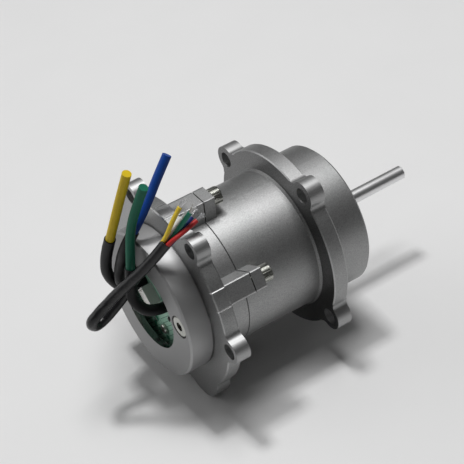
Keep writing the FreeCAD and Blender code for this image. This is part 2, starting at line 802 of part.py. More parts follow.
plug = new_body("signal_connector")
shell = new_sketch(plug, "YZ_Plane", along=board_x, turn=plug_turn)
box(shell, plug_across - plug_width * 0.5, plug_across + plug_width * 0.5,
    -plug_drop - plug_thick * 0.5, -plug_drop + plug_thick * 0.5)
pad(plug, shell, plug_height, True)
well = new_sketch(plug, "YZ_Plane", along=board_x - plug_height, turn=plug_turn)
box(well, plug_across - plug_width * 0.5 + plug_wall, plug_across + plug_width * 0.5 - plug_wall,
    -plug_drop - plug_thick * 0.5 + plug_wall, -plug_drop + plug_thick * 0.5 - plug_wall)
pocket(plug, well, plug_height - plug_wall * 2, True)


def tube(name, points, diameter):
    """A round cord on straight runs joined by the largest arcs that the runs allow."""
    spots = [Vector(*point) for point in points]
    edges = []
    radii = []
    begin = spots[0]
    for a, b, c in zip(spots, spots[1:], spots[2:]):
        into = (b - a).normalize()
        out = (c - b).normalize()
        bend = into.getAngle(out)
        reach = 0.45 * min((b - a).Length, (c - b).Length)
        radius = reach / math.tan(bend / 2)
        inner = b + (out - into).normalize() * (radius / math.cos(bend / 2) - radius)
        edges.append(Part.LineSegment(begin, b - into * reach).toShape())
        edges.append(Part.Arc(b - into * reach, inner, b + out * reach).toShape())
        begin = b + out * reach
        radii.append(round(radius, 1))
    edges.append(Part.LineSegment(begin, spots[-1]).toShape())
    path = Part.Wire(edges)
    rim = Part.Circle(spots[0], spots[1] - spots[0], diameter.value / 2)
    solid = path.makePipeShell([Part.Wire(rim.toShape())], True, False)
    if solid.Volume < 0:
        solid.reverse()
    made = doc.addObject("Part::Feature", name)
    made.Label = name
    made.Shape = solid
    made.Placement = Placement()
    pieces.append(made)
    wanted = math.pi * diameter.value ** 2 / 4 * path.Length
    print("%s: length %.1f, volume ratio %.4f, radii %s" % (name, path.Length, solid.Volume / wanted, radii))


def sleeved_lead(colour, root, out, rise, straight, run):
    """A lead that leaves the board in a black sleeve and ends in a straight cut.

    The sleeve stands square on the board, and the lead leaves its mouth square too.
    """
    start = Vector(board_x.value, *root)
    spots = [start, start + Vector(-out, 0, 0)] + [Vector(*spot) for spot in rise]
    mouth = spots[-1]
    knee = mouth + (mouth - spots[-2]).normalize() * straight
    tube("sleeve_" + colour, [tuple(spot) for spot in spots], sleeve_diameter)
    tube("lead_" + colour, [tuple(mouth), tuple(knee)] + run, lead_diameter)


sleeved_lead("yellow", (20.0, -3.5), 8.5,
             [(-101.0, 20.4, 5.8), (-104.9, 20.1, 15.5), (-104.5, 17.3, 29.0), (-102.7, 13.0, 41.9)],
             14.5, [(-97.3, 4.1, 72.6), (-93.9, -0.5, 89.0)])
sleeved_lead("green", (-10.8, 3.4), 11.5,
             [(-103.9, -3.6, 11.0), (-102.1, -1.9, 21.8), (-100.9, -1.9, 31.3)],
             9.5, [(-97.4, -1.2, 54.5), (-93.8, -4.2, 69.2), (-90.0, -8.6, 83.3)])
sleeved_lead("blue", (14.6, 3.4), 7.3,
             [(-99.6, 14.2, 7.6), (-100.9, 13.0, 15.3), (-99.6, 11.4, 25.3), (-99.2, 5.0, 39.1),
              (-93.6, 3.3, 48.4)],
             9.0, [(-81.0, 3.1, 66.0), (-74.3, 4.2, 75.2), (-67.5, 4.9, 84.0)])

signal_route = [
    (board_x.value, 3.0, 21.5), (-93.4, 3.0, 21.5), (-98.9, 4.1, 15.4), (-106.6, 4.5, 7.3),
    (-121.6, 5.0, -3.0), (-128.6, 0.3, 6.6), (-119.2, -1.4, 14.6), (-110.2, -6.4, 25.2),
    (-98.2, -15.2, 39.8), (-87.9, -20.5, 54.1),
]
tube("signal_sleeve", signal_route, signal_sleeve_diameter)

# Five thin wires fan out of the end of the signal sleeve, each with a stripped and tinned tip.
mouth_at = Vector(*signal_route[-1])
mouth_way = (mouth_at - Vector(*signal_route[-2])).normalize()
across = mouth_way.cross(Vector(0, 0, 1)).normalize()
upward = across.cross(mouth_way)
tips = []


def signal_wire(colour, angle, reach, end):
    pitch = signal_wire_pitch.value if reach else 0.0
    side = across * math.cos(math.radians(angle)) + upward * math.sin(math.radians(angle))
    begin = mouth_at + side * pitch
    finish = Vector(*end)
    span = (finish - begin).Length
    knee = begin + mouth_way * (span * 0.36)
    hip = knee + (finish - knee) * 0.5 + side * (span * 0.03)
    tube("signal_wire_" + colour, [tuple(begin), tuple(knee), tuple(hip), end], signal_wire_diameter)
    way = (finish - hip).normalize()
    tips.append(Part.makeCylinder(bare_tip_diameter.value / 2, bare_tip_length.value, finish, way))


signal_wire("white", 0.0, False, (-76.0, -21.3, 66.2))
signal_wire("yellow", 118.0, True, (-76.8, -20.5, 74.6))
signal_wire("green", 29.0, True, (-73.6, -24.8, 68.8))
signal_wire("blue", 209.0, True, (-70.6, -17.6, 60.4))
signal_wire("red", -40.0, True, (-70.7, -25.0, 62.4))
bare = doc.addObject("Part::Feature", "signal_wire_tips")
bare.Label = "signal_wire_tips"
bare.Shape = Part.makeCompound(tips)
bare.Placement = Placement()
pieces.append(bare)

doc.recompute()
for item in doc.Objects:
    if "Invalid" in item.State or "Error" in item.State:
        raise RuntimeError("failed: %s %s" % (item.Name, item.State))
for piece in pieces:
    if piece.Shape.isNull() or not piece.Shape.isValid() or not piece.Shape.Solids:
        raise RuntimeError("bad shape: " + piece.Label)

os.makedirs("parts", exist_ok=True)
for piece in pieces:
    piece.Shape.exportStep("parts/%s.step" % piece.Label)
    print("%s: %d solids, %.1f mm3" % (piece.Label, len(piece.Shape.Solids), piece.Shape.Volume))
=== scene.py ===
# %% [markdown]
# # A brushless motor and its finishes
# This lesson dresses a motor that was built elsewhere as exact solids. The solids arrive as a fixed frame:
# they already sit at their real size and place, in metres, with the shaft along +X and +Z up. What is left
# to make here is what solids don't carry: the metal's grain, the leads, the ribbed screws, the board's
# parts and the light.

# %% Load the motor
import math

import bmesh
import bpy
from mathutils import Matrix, Vector, noise


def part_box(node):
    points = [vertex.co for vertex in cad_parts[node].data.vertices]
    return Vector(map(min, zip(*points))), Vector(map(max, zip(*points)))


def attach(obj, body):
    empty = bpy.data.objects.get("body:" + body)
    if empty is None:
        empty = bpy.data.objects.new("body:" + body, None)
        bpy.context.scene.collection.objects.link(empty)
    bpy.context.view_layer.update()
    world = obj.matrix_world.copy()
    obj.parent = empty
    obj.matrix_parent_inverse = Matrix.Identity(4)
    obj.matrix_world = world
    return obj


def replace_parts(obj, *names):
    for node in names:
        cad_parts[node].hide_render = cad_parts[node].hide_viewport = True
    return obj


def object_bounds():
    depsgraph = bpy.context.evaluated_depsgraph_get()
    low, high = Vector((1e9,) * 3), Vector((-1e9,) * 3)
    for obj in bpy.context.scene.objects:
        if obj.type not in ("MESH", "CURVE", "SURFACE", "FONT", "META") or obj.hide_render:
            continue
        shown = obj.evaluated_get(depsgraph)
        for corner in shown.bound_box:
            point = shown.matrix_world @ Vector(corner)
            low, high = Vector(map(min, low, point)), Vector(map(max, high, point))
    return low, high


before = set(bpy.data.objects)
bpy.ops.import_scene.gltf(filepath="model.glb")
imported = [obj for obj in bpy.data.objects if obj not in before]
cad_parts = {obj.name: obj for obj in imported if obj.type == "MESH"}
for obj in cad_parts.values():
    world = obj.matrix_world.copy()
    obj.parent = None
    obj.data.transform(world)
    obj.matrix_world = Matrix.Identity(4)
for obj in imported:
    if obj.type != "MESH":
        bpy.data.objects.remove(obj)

CAD_BOX = [list(corner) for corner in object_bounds()]
MM = 0.001
print("motor:", len(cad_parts), "nodes,", [round(b - a, 3) for a, b in zip(*CAD_BOX)], "metres")

# %% [markdown]
# ## Camera
# A product photo is usually taken with a long lens, which keeps the round flanges round. The camera could
# be aimed with a Track To constraint, but a picture that leans a little to one side needs its own up
# direction, so the three axes are written down and put into one matrix.

# %% Camera
LENS = 116.4
SENSOR = 36.0
NEAREST = 10 * MM
CAMERA_SPOT = Vector((-349.3, -522.2, 541.5)) * MM
CAMERA_AHEAD = Vector((0.3891, 0.6514, -0.6514)).normalized()
PICTURE_UP = Vector((0.4211, 0.5032, 0.7547))


def placed(name, data):
    """A new object in the scene that holds the data."""
    made = bpy.data.objects.new(name, data)
    bpy.context.scene.collection.objects.link(made)
    return made


camera_data = bpy.data.cameras.new("camera")
camera_data.lens = LENS
camera_data.sensor_width = SENSOR
camera_data.clip_start = NEAREST
camera = placed("camera", camera_data)
camera_right = CAMERA_AHEAD.cross(PICTURE_UP).normalized()
camera_up = camera_right.cross(CAMERA_AHEAD)
axes = Matrix((camera_right, camera_up, -CAMERA_AHEAD)).transposed()
camera.matrix_world = Matrix.Translation(CAMERA_SPOT) @ axes.to_4x4()
bpy.context.scene.camera = camera
print("camera:", round(CAMERA_SPOT.length, 3), "m from the front flange")

# %% [markdown]
# ## Shader maths
# A finish is a small calculation that runs at every point of a surface. It could be wired by hand in the
# shader editor, but a formula is easier to read than a web of wires. So one small class wraps a socket and
# turns +, -, * and ** into Math nodes, and a second one adds any other node by its type.


# %% Sockets as numbers
class Wire:
    """One output socket, with Python's operators standing for Math nodes."""

    def __init__(self, nodes, socket):
        self.nodes = nodes
        self.socket = socket

    def maths(self, operation, first, second):
        """A Math node of two values."""
        return self.nodes.node("Math", {"operation": operation}, {0: first, 1: second})

    def __add__(self, other):
        return self.maths("ADD", self, other)

    __radd__ = __add__

    def __sub__(self, other):
        return self.maths("SUBTRACT", self, other)

    def __rsub__(self, other):
        return self.maths("SUBTRACT", other, self)

    def __mul__(self, other):
        return self.maths("MULTIPLY", self, other)

    __rmul__ = __mul__

    def __pow__(self, other):
        return self.maths("POWER", self, other)

    def size(self):
        """The value without its sign."""
        return self.nodes.node("Math", {"operation": "ABSOLUTE"}, {0: self})

    def swing(self, amount):
        """Noise from 0 to 1 as a value that swings about 0, by half the amount each way."""
        return (self - 0.5) * amount

    def rise(self, low, high):
        """0 below low, 1 above high and a smooth step between them."""
        settings = {"interpolation_type": "SMOOTHSTEP"}
        return self.nodes.node("MapRange", settings, {"Value": self, "From Min": low, "From Max": high})


class Nodes:
    """A node tree that nodes are added to."""

    def __init__(self, tree):
        self.tree = tree

    def node(self, kind, settings=(), sockets=(), out=0):
        """Adds a node: its settings first, then the values or wires of its sockets."""
        made = self.tree.nodes.new("ShaderNode" + kind)
        for name, value in dict(settings).items():
            setattr(made, name, value)
        for name, value in dict(sockets).items():
            if isinstance(value, Wire):
                self.tree.links.new(value.socket, made.inputs[name])
            else:
                made.inputs[name].default_value = value
        return Wire(self, made.outputs[out])

    def split(self, vector):
        """The three parts of a vector."""
        made = self.node("SeparateXYZ", (), {0: vector}).socket.node
        return [Wire(self, socket) for socket in made.outputs]

    def join(self, x, y, z):
        """A vector, or a colour, from three parts."""
        return self.node("CombineXYZ", (), {0: x, 1: y, 2: z})


print("sockets take +, -, * and **")

# %% [markdown]
# ## One material
# Every finish on the motor needs the same few things: where on the motor a point lies, which way the
# surface faces there, noise, a mix of two colours and relief. Each material could build them anew, but a
# class that holds them keeps a finish to a few lines. Object coordinates are used, because the motor needs
# no unwrapping for them and every solid shares one origin on the shaft's axis.


# %% Finishes
class Finish(Nodes):
    """One material: a Principled shader, the nodes in front of it and where on the motor a point lies."""

    def __init__(self, name, **constants):
        self.material = bpy.data.materials.new(name)
        self.material.use_nodes = True
        super().__init__(self.material.node_tree)
        self.shader = self.tree.nodes["Principled BSDF"]
        for label, value in constants.items():
            self.shader.inputs[label.replace("_", " ").title().replace("Ior", "IOR")].default_value = value
        self.spot = self.node("TexCoord", out="Object")
        self.x, self.y, self.z = self.split(self.spot)
        self.radius = (self.y * self.y + self.z * self.z) ** 0.5

    def facing(self):
        """How far the surface faces along X, Y and Z."""
        return self.split(self.node("NewGeometry", out="Normal"))

    def noise(self, feature, where=None, detail=2.0, roughness=0.5):
        """Cloudy noise whose lumps are about as large as feature, in metres."""
        values = {"Vector": where or self.spot, "Scale": 1 / feature}
        values.update({"Detail": detail, "Roughness": roughness})
        return self.node("TexNoise", (), values)

    def mix(self, first, second, share):
        """A colour between two colours."""
        return self.node("Mix", {"data_type": "RGBA"}, {0: share, 6: first, 7: second}, out=2)

    def bump(self, height, depth, strength):
        """Turns a height from 0 to 1 into relief of that depth, in metres."""
        values = {"Height": height, "Distance": depth, "Strength": strength}
        self.feed(Normal=self.node("Bump", (), values))

    def feed(self, **wires):
        """Links wires to the shader's sockets of those names."""
        for label, wire in wires.items():
            self.tree.links.new(wire.socket, self.shader.inputs[label.replace("_", " ")])


def grey(level):
    """An opaque grey."""
    return (level, level, level, 1.0)


def dress(finish, *names):
    """Gives a finish to nodes of the motor."""
    for name in names:
        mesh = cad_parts[name].data
        mesh.materials.clear()
        mesh.materials.append(finish.material)
    print("dressed", ", ".join(names), "in", finish.material.name)


print("a finish is fed through its Principled shader")

# %% [markdown]
# ## Edges of the screw bosses
# The screws that clamp the housings stand in square bosses, whose upper edges are broken with a file and
# catch the light. A Bevel modifier would round them, but the solids stay as they are. The finish rounds
# them instead: it finds how near a point is to such an edge, and lets the relief fall away there. It also
# paints the edges paler, partly as filed metal and partly as a painted highlight.

# %% Boss edges
BOSS_FLAT = 53.2 * MM
BOSS_HALF = 5.5 * MM
BOSS_ANGLES = (0.0, 60.0)
EDGE = 0.7 * MM
PAST_EDGE = (0.1 * MM, 0.2 * MM)


def boss_edges(finish):
    """How near a point is to the upper edges of the screw bosses, from 0 to 1 right on them."""
    found = 0.0
    for angle in BOSS_ANGLES:
        turn = math.radians(angle)
        out = (finish.z * math.cos(turn) - finish.y * math.sin(turn)).size()
        side = (finish.y * math.cos(turn) + finish.z * math.sin(turn)).size() - BOSS_HALF
        near = (side + EDGE).rise(0.0, EDGE) * (1 - side.rise(*PAST_EDGE))
        found = found + near * (out - BOSS_FLAT + EDGE).rise(0.0, EDGE)
    return found


print("bosses at", BOSS_ANGLES, "degrees from the top, and opposite")

# %% [markdown]
# ## Blasted aluminium
# The two housings are castings, turned on a lathe and then blasted with fine beads, which leaves a satin
# grain of about two thirds of a millimetre. The faces of the flanges and the ends of the lugs are cut
# afterwards, so they are smoother. Each kind of place could have a material of its own, but then faces
# would have to be picked out by hand. One material covers all of it: which way a surface faces, and how far
# it lies from the shaft, tell the cut places from the blasted ones.

# %% Housing metal
# How large the grain and the clouds are, and how many strokes of the cutter go into a metre.
GRAIN = 0.65 * MM
HOUSING_CLOUD = 14 * MM
STROKES_ALONG = 60.0
STROKES_ACROSS = 1500.0

# Where the rims, the can and the lugs lie: x, or a distance from the shaft's axis.
FRONT_RIM = 52.0 * MM
REAR_RIM = 55.0 * MM
BETWEEN_RIMS = -40.0 * MM
BEYOND_CAN = (44.0 * MM, 45.0 * MM)
BEYOND_RIM = (0.4 * MM, 1.6 * MM)

# How far each kind of place faces along the shaft, from 0 to 1.
FACE_SLOPE = (0.93, 0.98)
STEEP_SLOPE = (0.85, 0.93)
CHAMFER_SLOPE = (0.30, 0.45)
BLEND_SLOPE = (0.15, 0.30)

# How pale the metal is, and what each kind of place adds or takes away. The blend and face shades are
# painted shade, and the edge lift is partly a painted highlight.
HOUSING_TONE = 0.36
CLOUD_TONE = 0.05
GRAIN_TONE = 0.38
STROKE_TONE = 0.12
CHAMFER_LIFT = 0.05
LUG_LIFT = 0.04
# The edge lift is partly filed metal and partly a painted highlight.
EDGE_LIFT = 0.30
# Painted shade on the blend from the can into the flanges.
BLEND_SHADE = 0.12
# Painted shade: all flat faces a little, and the front flange's back face much more.
FACE_SHADE = 0.02
FRONT_FACE_SHADE = 0.18
GREEN_TINT = (0.975, 1.0, 0.99, 1.0)
PINK_TINT = (1.0, 0.985, 0.995, 1.0)

# How rough it is, and how deep its relief.
HOUSING_ROUGH = 0.48
GRAIN_ROUGH = 0.14
CUT_GLOSS = 0.10
LUG_SMOOTH = 0.7
EDGE_DROP = 16.0
BLAST_RELIEF = 0.05 * MM
METAL_BUMP = 0.6


def blasted_aluminium():
    """The housings' metal: blasted, with cut faces, chamfers, lug ends and painted shade on blend and faces.
    """
    finish = Finish("blasted_aluminium", metallic=1.0)
    ahead = finish.facing()[0]
    along = ahead.size()
    flat_face = along.rise(*FACE_SLOPE)
    faces_back = (0 - ahead).rise(*FACE_SLOPE)
    beyond_can = finish.radius.rise(*BEYOND_CAN)
    not_steep = 1 - along.rise(*STEEP_SLOPE)
    chamfer = along.rise(*CHAMFER_SLOPE) * not_steep * beyond_can
    blend = along.rise(*BLEND_SLOPE) * not_steep * (1 - beyond_can)
    front = finish.x.rise(BETWEEN_RIMS - MM, BETWEEN_RIMS + MM)
    rim = REAR_RIM + (FRONT_RIM - REAR_RIM) * front
    lug = (finish.radius - rim).rise(*BEYOND_RIM) * (1 - flat_face)
    edge = boss_edges(finish)
    grain = finish.noise(GRAIN, detail=3.0, roughness=0.65)
    cloud = finish.noise(HOUSING_CLOUD, detail=3.0)
    stretched = finish.join(finish.x * STROKES_ALONG, finish.y * STROKES_ACROSS, finish.z * STROKES_ACROSS)
    strokes = finish.noise(1.0, stretched)
    blasted = 1 - lug * LUG_SMOOTH
    tone = HOUSING_TONE + cloud.swing(CLOUD_TONE) + grain.swing(GRAIN_TONE) * blasted
    tone = tone + strokes.swing(STROKE_TONE) * lug
    # Chamfers and lug ends are paler cut metal, the boss edges partly a painted highlight, the blend painted
    # shade.
    tone = tone + chamfer * CHAMFER_LIFT + lug * LUG_LIFT + edge * EDGE_LIFT - blend * BLEND_SHADE
    # Painted shade on the flat faces, most on the front flange's back face.
    tone = tone - flat_face * FACE_SHADE - faces_back * front * FRONT_FACE_SHADE
    tint = finish.mix(GREEN_TINT, PINK_TINT, cloud)
    colour = finish.node("Mix", {"data_type": "RGBA", "blend_type": "MULTIPLY"},
                         {0: 1.0, 6: tint, 7: finish.join(tone, tone, tone)}, out=2)
    rough = HOUSING_ROUGH + grain.swing(GRAIN_ROUGH) - flat_face * CUT_GLOSS - chamfer * CUT_GLOSS
    finish.feed(Base_Color=colour, Roughness=rough)
    finish.bump(grain * blasted + strokes * lug - edge * EDGE_DROP, BLAST_RELIEF, METAL_BUMP)
    return finish


dress(blasted_aluminium(), "front_housing", "rear_housing")

# %% [markdown]
# ## Turned metal
# The cap, the shaft and the bearing rings come off a lathe, which leaves fine rings round the axis. An
# anisotropic shader could show them, but it needs tangents. Here noise draws them: a ring is the same all
# the way round, so its noise depends only on how far a point is along and away from the axis.

# %% Turned metal
TURNED_CLOUD = 9 * MM
CLOUD_SHARE = 0.6
RING_GLOSS = 0.10
CLOUD_GLOSS = 0.06
TURNED_RELIEF = 0.006 * MM
STEEL_TINT = (1.0, 1.0, 1.005)
# Painted shade: the window's bore is painted dark.
PAINTED_BORE_SHADE = 0.13
BORE_ROUGH = 0.10
NEAR_BORE = (0.2 * MM, 0.5 * MM)
BORE_SLOPE = (0.5, 0.8)
TURNED_FACE_SLOPE = (0.90, 0.97)


def turned_metal(name, tone, rough, groove, spread=0.05, tint=STEEL_TINT, smooth_bore=None, face_shade=0.0):
    """Metal with fine rings. A bore of radius smooth_bore is polished and painted dark, and flat faces may
    get painted shade.
    """
    finish = Finish(name, metallic=1.0)
    across = finish.join(finish.x, finish.radius, 0.0)
    rings = finish.noise(groove, across, detail=4.0, roughness=0.7)
    cloud = finish.noise(TURNED_CLOUD, detail=2.0)
    level = tone + rings.swing(spread) + cloud.swing(spread * CLOUD_SHARE)
    gloss = rough + rings.swing(RING_GLOSS) + cloud.swing(CLOUD_GLOSS)
    if smooth_bore:
        along = finish.facing()[0].size()
        near = 1 - (finish.radius - smooth_bore).size().rise(*NEAR_BORE)
        bore = near * (1 - along.rise(*BORE_SLOPE))
        # The bore is painted dark and the flat faces get painted shade.
        level = level + bore * (PAINTED_BORE_SHADE - tone) - along.rise(*TURNED_FACE_SLOPE) * face_shade
        gloss = gloss - bore * (rough - BORE_ROUGH)
    finish.feed(Base_Color=finish.join(*(level * share for share in tint)), Roughness=gloss)
    finish.bump(rings, TURNED_RELIEF, METAL_BUMP)
    return finish


print("turned metal has relief of", round(TURNED_RELIEF / MM, 3), "mm")

# %% [markdown]
# ## Cap, shaft, bearings and screws
# They differ in how pale and how smooth they are and in how far apart the lathe's rings lie. A separate
# graph for each would repeat itself, so each is one call with its own values. The wall of the cap's window
# is bored smooth and mirrors the dark inside, and it is painted dark as shade. The cap's flat faces get
# painted shade too.

# %% Turned finishes
WINDOW_WALL = 25.5 * MM
CAP_TONE = 0.40
CAP_ROUGH = 0.54
# Painted shade on the cap's flat faces.
CAP_FACE_SHADE = 0.10
SCREW_TINT = (1.0, 1.01, 0.93)

dress(turned_metal("turned_cap", tone=CAP_TONE, rough=CAP_ROUGH, groove=0.22 * MM, smooth_bore=WINDOW_WALL,
                   face_shade=CAP_FACE_SHADE), "rear_cap")
dress(turned_metal("ground_shaft", tone=0.80, rough=0.36, groove=0.12 * MM), "shaft")
dress(turned_metal("ground_bearing_steel", tone=0.62, rough=0.22, groove=0.15 * MM),
      "front_bearing_inner", "front_bearing_outer", "rear_bearing_inner", "rear_bearing_outer",
      "front_bearing_balls", "rear_bearing_balls")
dress(turned_metal("pressed_strip", tone=0.42, rough=0.42, groove=0.4 * MM),
      "front_bearing_cage", "rear_bearing_cage")
dress(turned_metal("blued_spring_steel", tone=0.20, rough=0.38, groove=0.3 * MM),
      "preload_washer", "shaft_clip")
SCREW_STEEL = turned_metal("plated_screw_steel", tone=0.42, rough=0.28, groove=0.2 * MM, spread=0.08,
                           tint=SCREW_TINT)
dress(SCREW_STEEL, "housing_screws", "cap_screws", "board_screws")

# %% [markdown]
# ## Inside the motor
# Nothing in here shows while the motor is whole, but a part that is taken apart on screen needs it.
# Lamination stacks show their sheets as fine lines along the shaft, and enamelled copper shows its turns as
# ridges. Sheets and turns could be modelled one by one, but there are hundreds, so a sine wave draws them
# as stripes.

# %% Inner finishes
SHEET = 0.5 * MM
WINDING_WIRE = 0.9 * MM
LINE_CLOUD = 3 * MM
LINE_SHARE = 0.75
LINE_GLOSS = 0.15
LINE_RELIEF = 0.08 * MM
SOFT_BUMP = 0.5
COPPER_LIGHT = (0.62, 0.26, 0.10, 1)
COPPER_DARK = (0.26, 0.08, 0.03, 1)


def lined(name, light, dark, pitch, along, metal, rough):
    """Stripes of a pitch, along x or out from the axis."""
    finish = Finish(name, metallic=metal)
    way = finish.x if along else finish.radius
    wave = finish.node("Math", {"operation": "SINE"}, {0: way * (2 * math.pi / pitch)}) * 0.5 + 0.5
    cloud = finish.noise(LINE_CLOUD, detail=3.0)
    share = wave * LINE_SHARE + cloud * (1 - LINE_SHARE)
    finish.feed(Base_Color=finish.mix(dark, light, share), Roughness=rough + cloud.swing(LINE_GLOSS))
    finish.bump(wave, LINE_RELIEF, SOFT_BUMP)
    return finish


dress(lined("laminations", light=grey(0.30), dark=grey(0.10), pitch=SHEET, along=True,
            metal=1.0, rough=0.45), "stator_core", "rotor_core")
dress(lined("enamelled_copper", light=COPPER_LIGHT, dark=COPPER_DARK, pitch=WINDING_WIRE, along=False,
            metal=0.9, rough=0.30), "stator_coils")
dress(turned_metal("nickel_magnet", tone=0.50, rough=0.30, groove=0.5 * MM),
      "rotor_magnets", "sensor_magnet")

# %% [markdown]
# ## Brass plates
# A brass plate on each end of the rotor holds its magnets in and can be drilled to balance it. The turned
# metal above is grey, and a tint would colour it evenly. Brass shows a darker and a lighter yellow in its
# rings, so these mix two colours.

# %% Brass
BRASS_GROOVE = 0.2 * MM
BRASS_DARK = (0.62, 0.45, 0.20, 1)
BRASS_LIGHT = (0.74, 0.56, 0.28, 1)
BRASS_ROUGH = 0.3


def turned_brass():
    """Brass with fine rings."""
    finish = Finish("turned_brass", metallic=1.0)
    rings = finish.noise(BRASS_GROOVE, finish.join(finish.x, finish.radius, 0.0), detail=3.0)
    finish.feed(Base_Color=finish.mix(BRASS_DARK, BRASS_LIGHT, rings),
                Roughness=BRASS_ROUGH + rings.swing(RING_GLOSS))
    return finish


dress(turned_brass(), "rotor_plate_rear", "rotor_plate_front")

# %% [markdown]
# ## Plastics and rubber
# Moulded and extruded plastics are never one flat colour: the tone drifts a little, dust dulls it and the
# gloss is uneven. A plain Principled shader would look like a toy. One recipe with a few knobs, such as the
# colour, the gloss and the size of the grain, does for all of them.

# %% Plastics
PLASTIC_PATCH = 7 * MM
SPECK_SHARE = 0.4
PATCH_GLOSS = 0.14
SPECK_GLOSS = 0.10


def plastic(name, colour, rough, grain=0.5 * MM, drift=0.25, relief=0.01 * MM, **constants):
    """Plastic whose colour drifts by a share of itself, with fine relief of a grain."""
    finish = Finish(name, **constants)
    speck = finish.noise(grain, detail=3.0, roughness=0.6)
    patch = finish.noise(PLASTIC_PATCH, detail=3.0)
    light = tuple(min(1.0, part * (1 + drift)) for part in colour) + (1.0,)
    dark = tuple(part * (1 - drift) for part in colour) + (1.0,)
    finish.feed(Base_Color=finish.mix(dark, light, speck * SPECK_SHARE + patch * (1 - SPECK_SHARE)),
                Roughness=rough + patch.swing(PATCH_GLOSS) + speck.swing(SPECK_GLOSS))
    finish.bump(speck, relief, SOFT_BUMP)
    return finish


dress(plastic("moulded_insulator", (0.62, 0.58, 0.46), rough=0.5, drift=0.06),
      "insulator_rear", "insulator_front")
MOULDED_EPOXY = plastic("moulded_epoxy", (0.012, 0.012, 0.013), rough=0.5)
dress(MOULDED_EPOXY, "hall_sensors")
WHITE_NYLON = plastic("white_nylon", (0.86, 0.85, 0.81), rough=0.45, drift=0.04)
dress(WHITE_NYLON, "signal_connector")

# %% [markdown]
# ## Insulation and sleeves
# The power leads wear thick, soft silicone with little shine, and the thin wires a harder and glossier
# plastic, so a colour can have two finishes. The power sleeves are dull. The signal sleeve is glossier, and
# wrinkles where it folds. A displaced mesh could show the wrinkles, but relief in the finish is enough at
# this size.

# %% Insulation
BLACK_SLEEVE = plastic("black_sleeve", (0.007, 0.007, 0.008), rough=0.50, grain=0.8 * MM, drift=0.4,
                       relief=0.03 * MM, specular_ior_level=0.3)
SIGNAL_SLEEVE = plastic("signal_sleeve", (0.009, 0.009, 0.010), rough=0.30, grain=1.7 * MM, drift=0.4,
                        relief=0.45 * MM, specular_ior_level=0.45)
INSULATION = {
    "yellow": plastic("yellow_insulation", (0.60, 0.43, 0.006), rough=0.50, specular_ior_level=0.25),
    "green": plastic("green_insulation", (0.004, 0.125, 0.072), rough=0.50, specular_ior_level=0.25),
    "blue": plastic("blue_insulation", (0.005, 0.050, 0.27), rough=0.50, specular_ior_level=0.25),
}
THIN_INSULATION = {
    "yellow": plastic("thin_yellow_insulation", (0.72, 0.52, 0.03), rough=0.42),
    "green": plastic("thin_green_insulation", (0.006, 0.19, 0.125), rough=0.40),
    "blue": plastic("thin_blue_insulation", (0.004, 0.026, 0.16), rough=0.42),
    "white": plastic("white_insulation", (0.74, 0.74, 0.72), rough=0.45, drift=0.05),
    "red": plastic("red_insulation", (0.46, 0.018, 0.018), rough=0.42),
}
TINNED = turned_metal("tinned_strands", tone=0.72, rough=0.34, groove=0.1 * MM)
print("insulation:", len(INSULATION), "thick colours,", len(THIN_INSULATION), "thin ones")

# %% [markdown]
# ## Meshes from rings
# Most small pieces here are stacks of rings: a tube, a screw or a block is a few outlines joined by a skin.
# Primitives and modifiers could make them one at a time. One class that gathers such stacks is shorter, and
# turns many of them into one object that moves with the motor.

# %% Shapes
CREASE = 35.0
CORNERS = ((-1, -1), (1, -1), (1, 1), (-1, 1))
SHOULDER = 0.8
SHOULDER_SLOPE = 0.3


def fitted(piece, finish, slot):
    """Gives a new piece its finish and lets it ride on the housing. The slot is not used."""
    piece.data.materials.append(finish.material)
    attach(piece, "housing")
    return piece


def ring(centre, side, up, radius, count):
    """Points round a centre, with a radius that is a function of the angle."""
    turns = [2 * math.pi * k / count for k in range(count)]
    return [centre + (side * math.cos(turn) + up * math.sin(turn)) * radius(turn) for turn in turns]


class Shape:
    """Points and faces gathered from several stacks of rings and made into one mesh."""

    def __init__(self):
        self.points = []
        self.faces = []

    def stack(self, rings):
        """A closed skin through rings of points, with a flat cap at each end."""
        first, count = len(self.points), len(rings[0])
        self.points += [spot for spots in rings for spot in spots]
        for row in range(first, first + count * (len(rings) - 1), count):
            for k in range(count):
                after = (k + 1) % count
                self.faces.append((row + k, row + after, row + count + after, row + count + k))
        last = len(self.points) - count
        self.faces.append(tuple(reversed(range(first, first + count))))
        self.faces.append(tuple(range(last, last + count)))

    def block(self, centre, side, up, out, width, height, depth, slope=0.12):
        """A moulded block that stands on centre along out and narrows a little at its top."""
        shoulder = 1.0 - slope * SHOULDER_SLOPE
        rings = []
        for rise, share in ((0.0, 1.0), (SHOULDER * depth, shoulder), (depth, 1.0 - slope)):
            middle = centre + out * rise
            rings.append([middle + side * (a * width * share / 2) + up * (b * height * share / 2)
                          for a, b in CORNERS])
        self.stack(rings)

    def made(self, name, finish, slot):
        """The mesh object, with its finish. The slot is passed on but not used."""
        mesh = bpy.data.meshes.new(name)
        mesh.from_pydata([tuple(point) for point in self.points], [], self.faces)
        mesh.validate()
        mesh.shade_smooth()
        mesh.set_sharp_from_angle(angle=math.radians(CREASE))
        return fitted(placed(name, mesh), finish, slot)


print("edges over", CREASE, "degrees stay sharp")

# %% [markdown]
# ## Where the screws stand
# The ribbed screws are drawn over plain ones in the solids. Their places could be typed again, but then
# they could drift away from the holes. A node that holds several screws is split into its separate solids
# instead, by walking along the edges from corner to corner, and each one is measured.

# %% Separate solids
WELD = 0.001 * MM


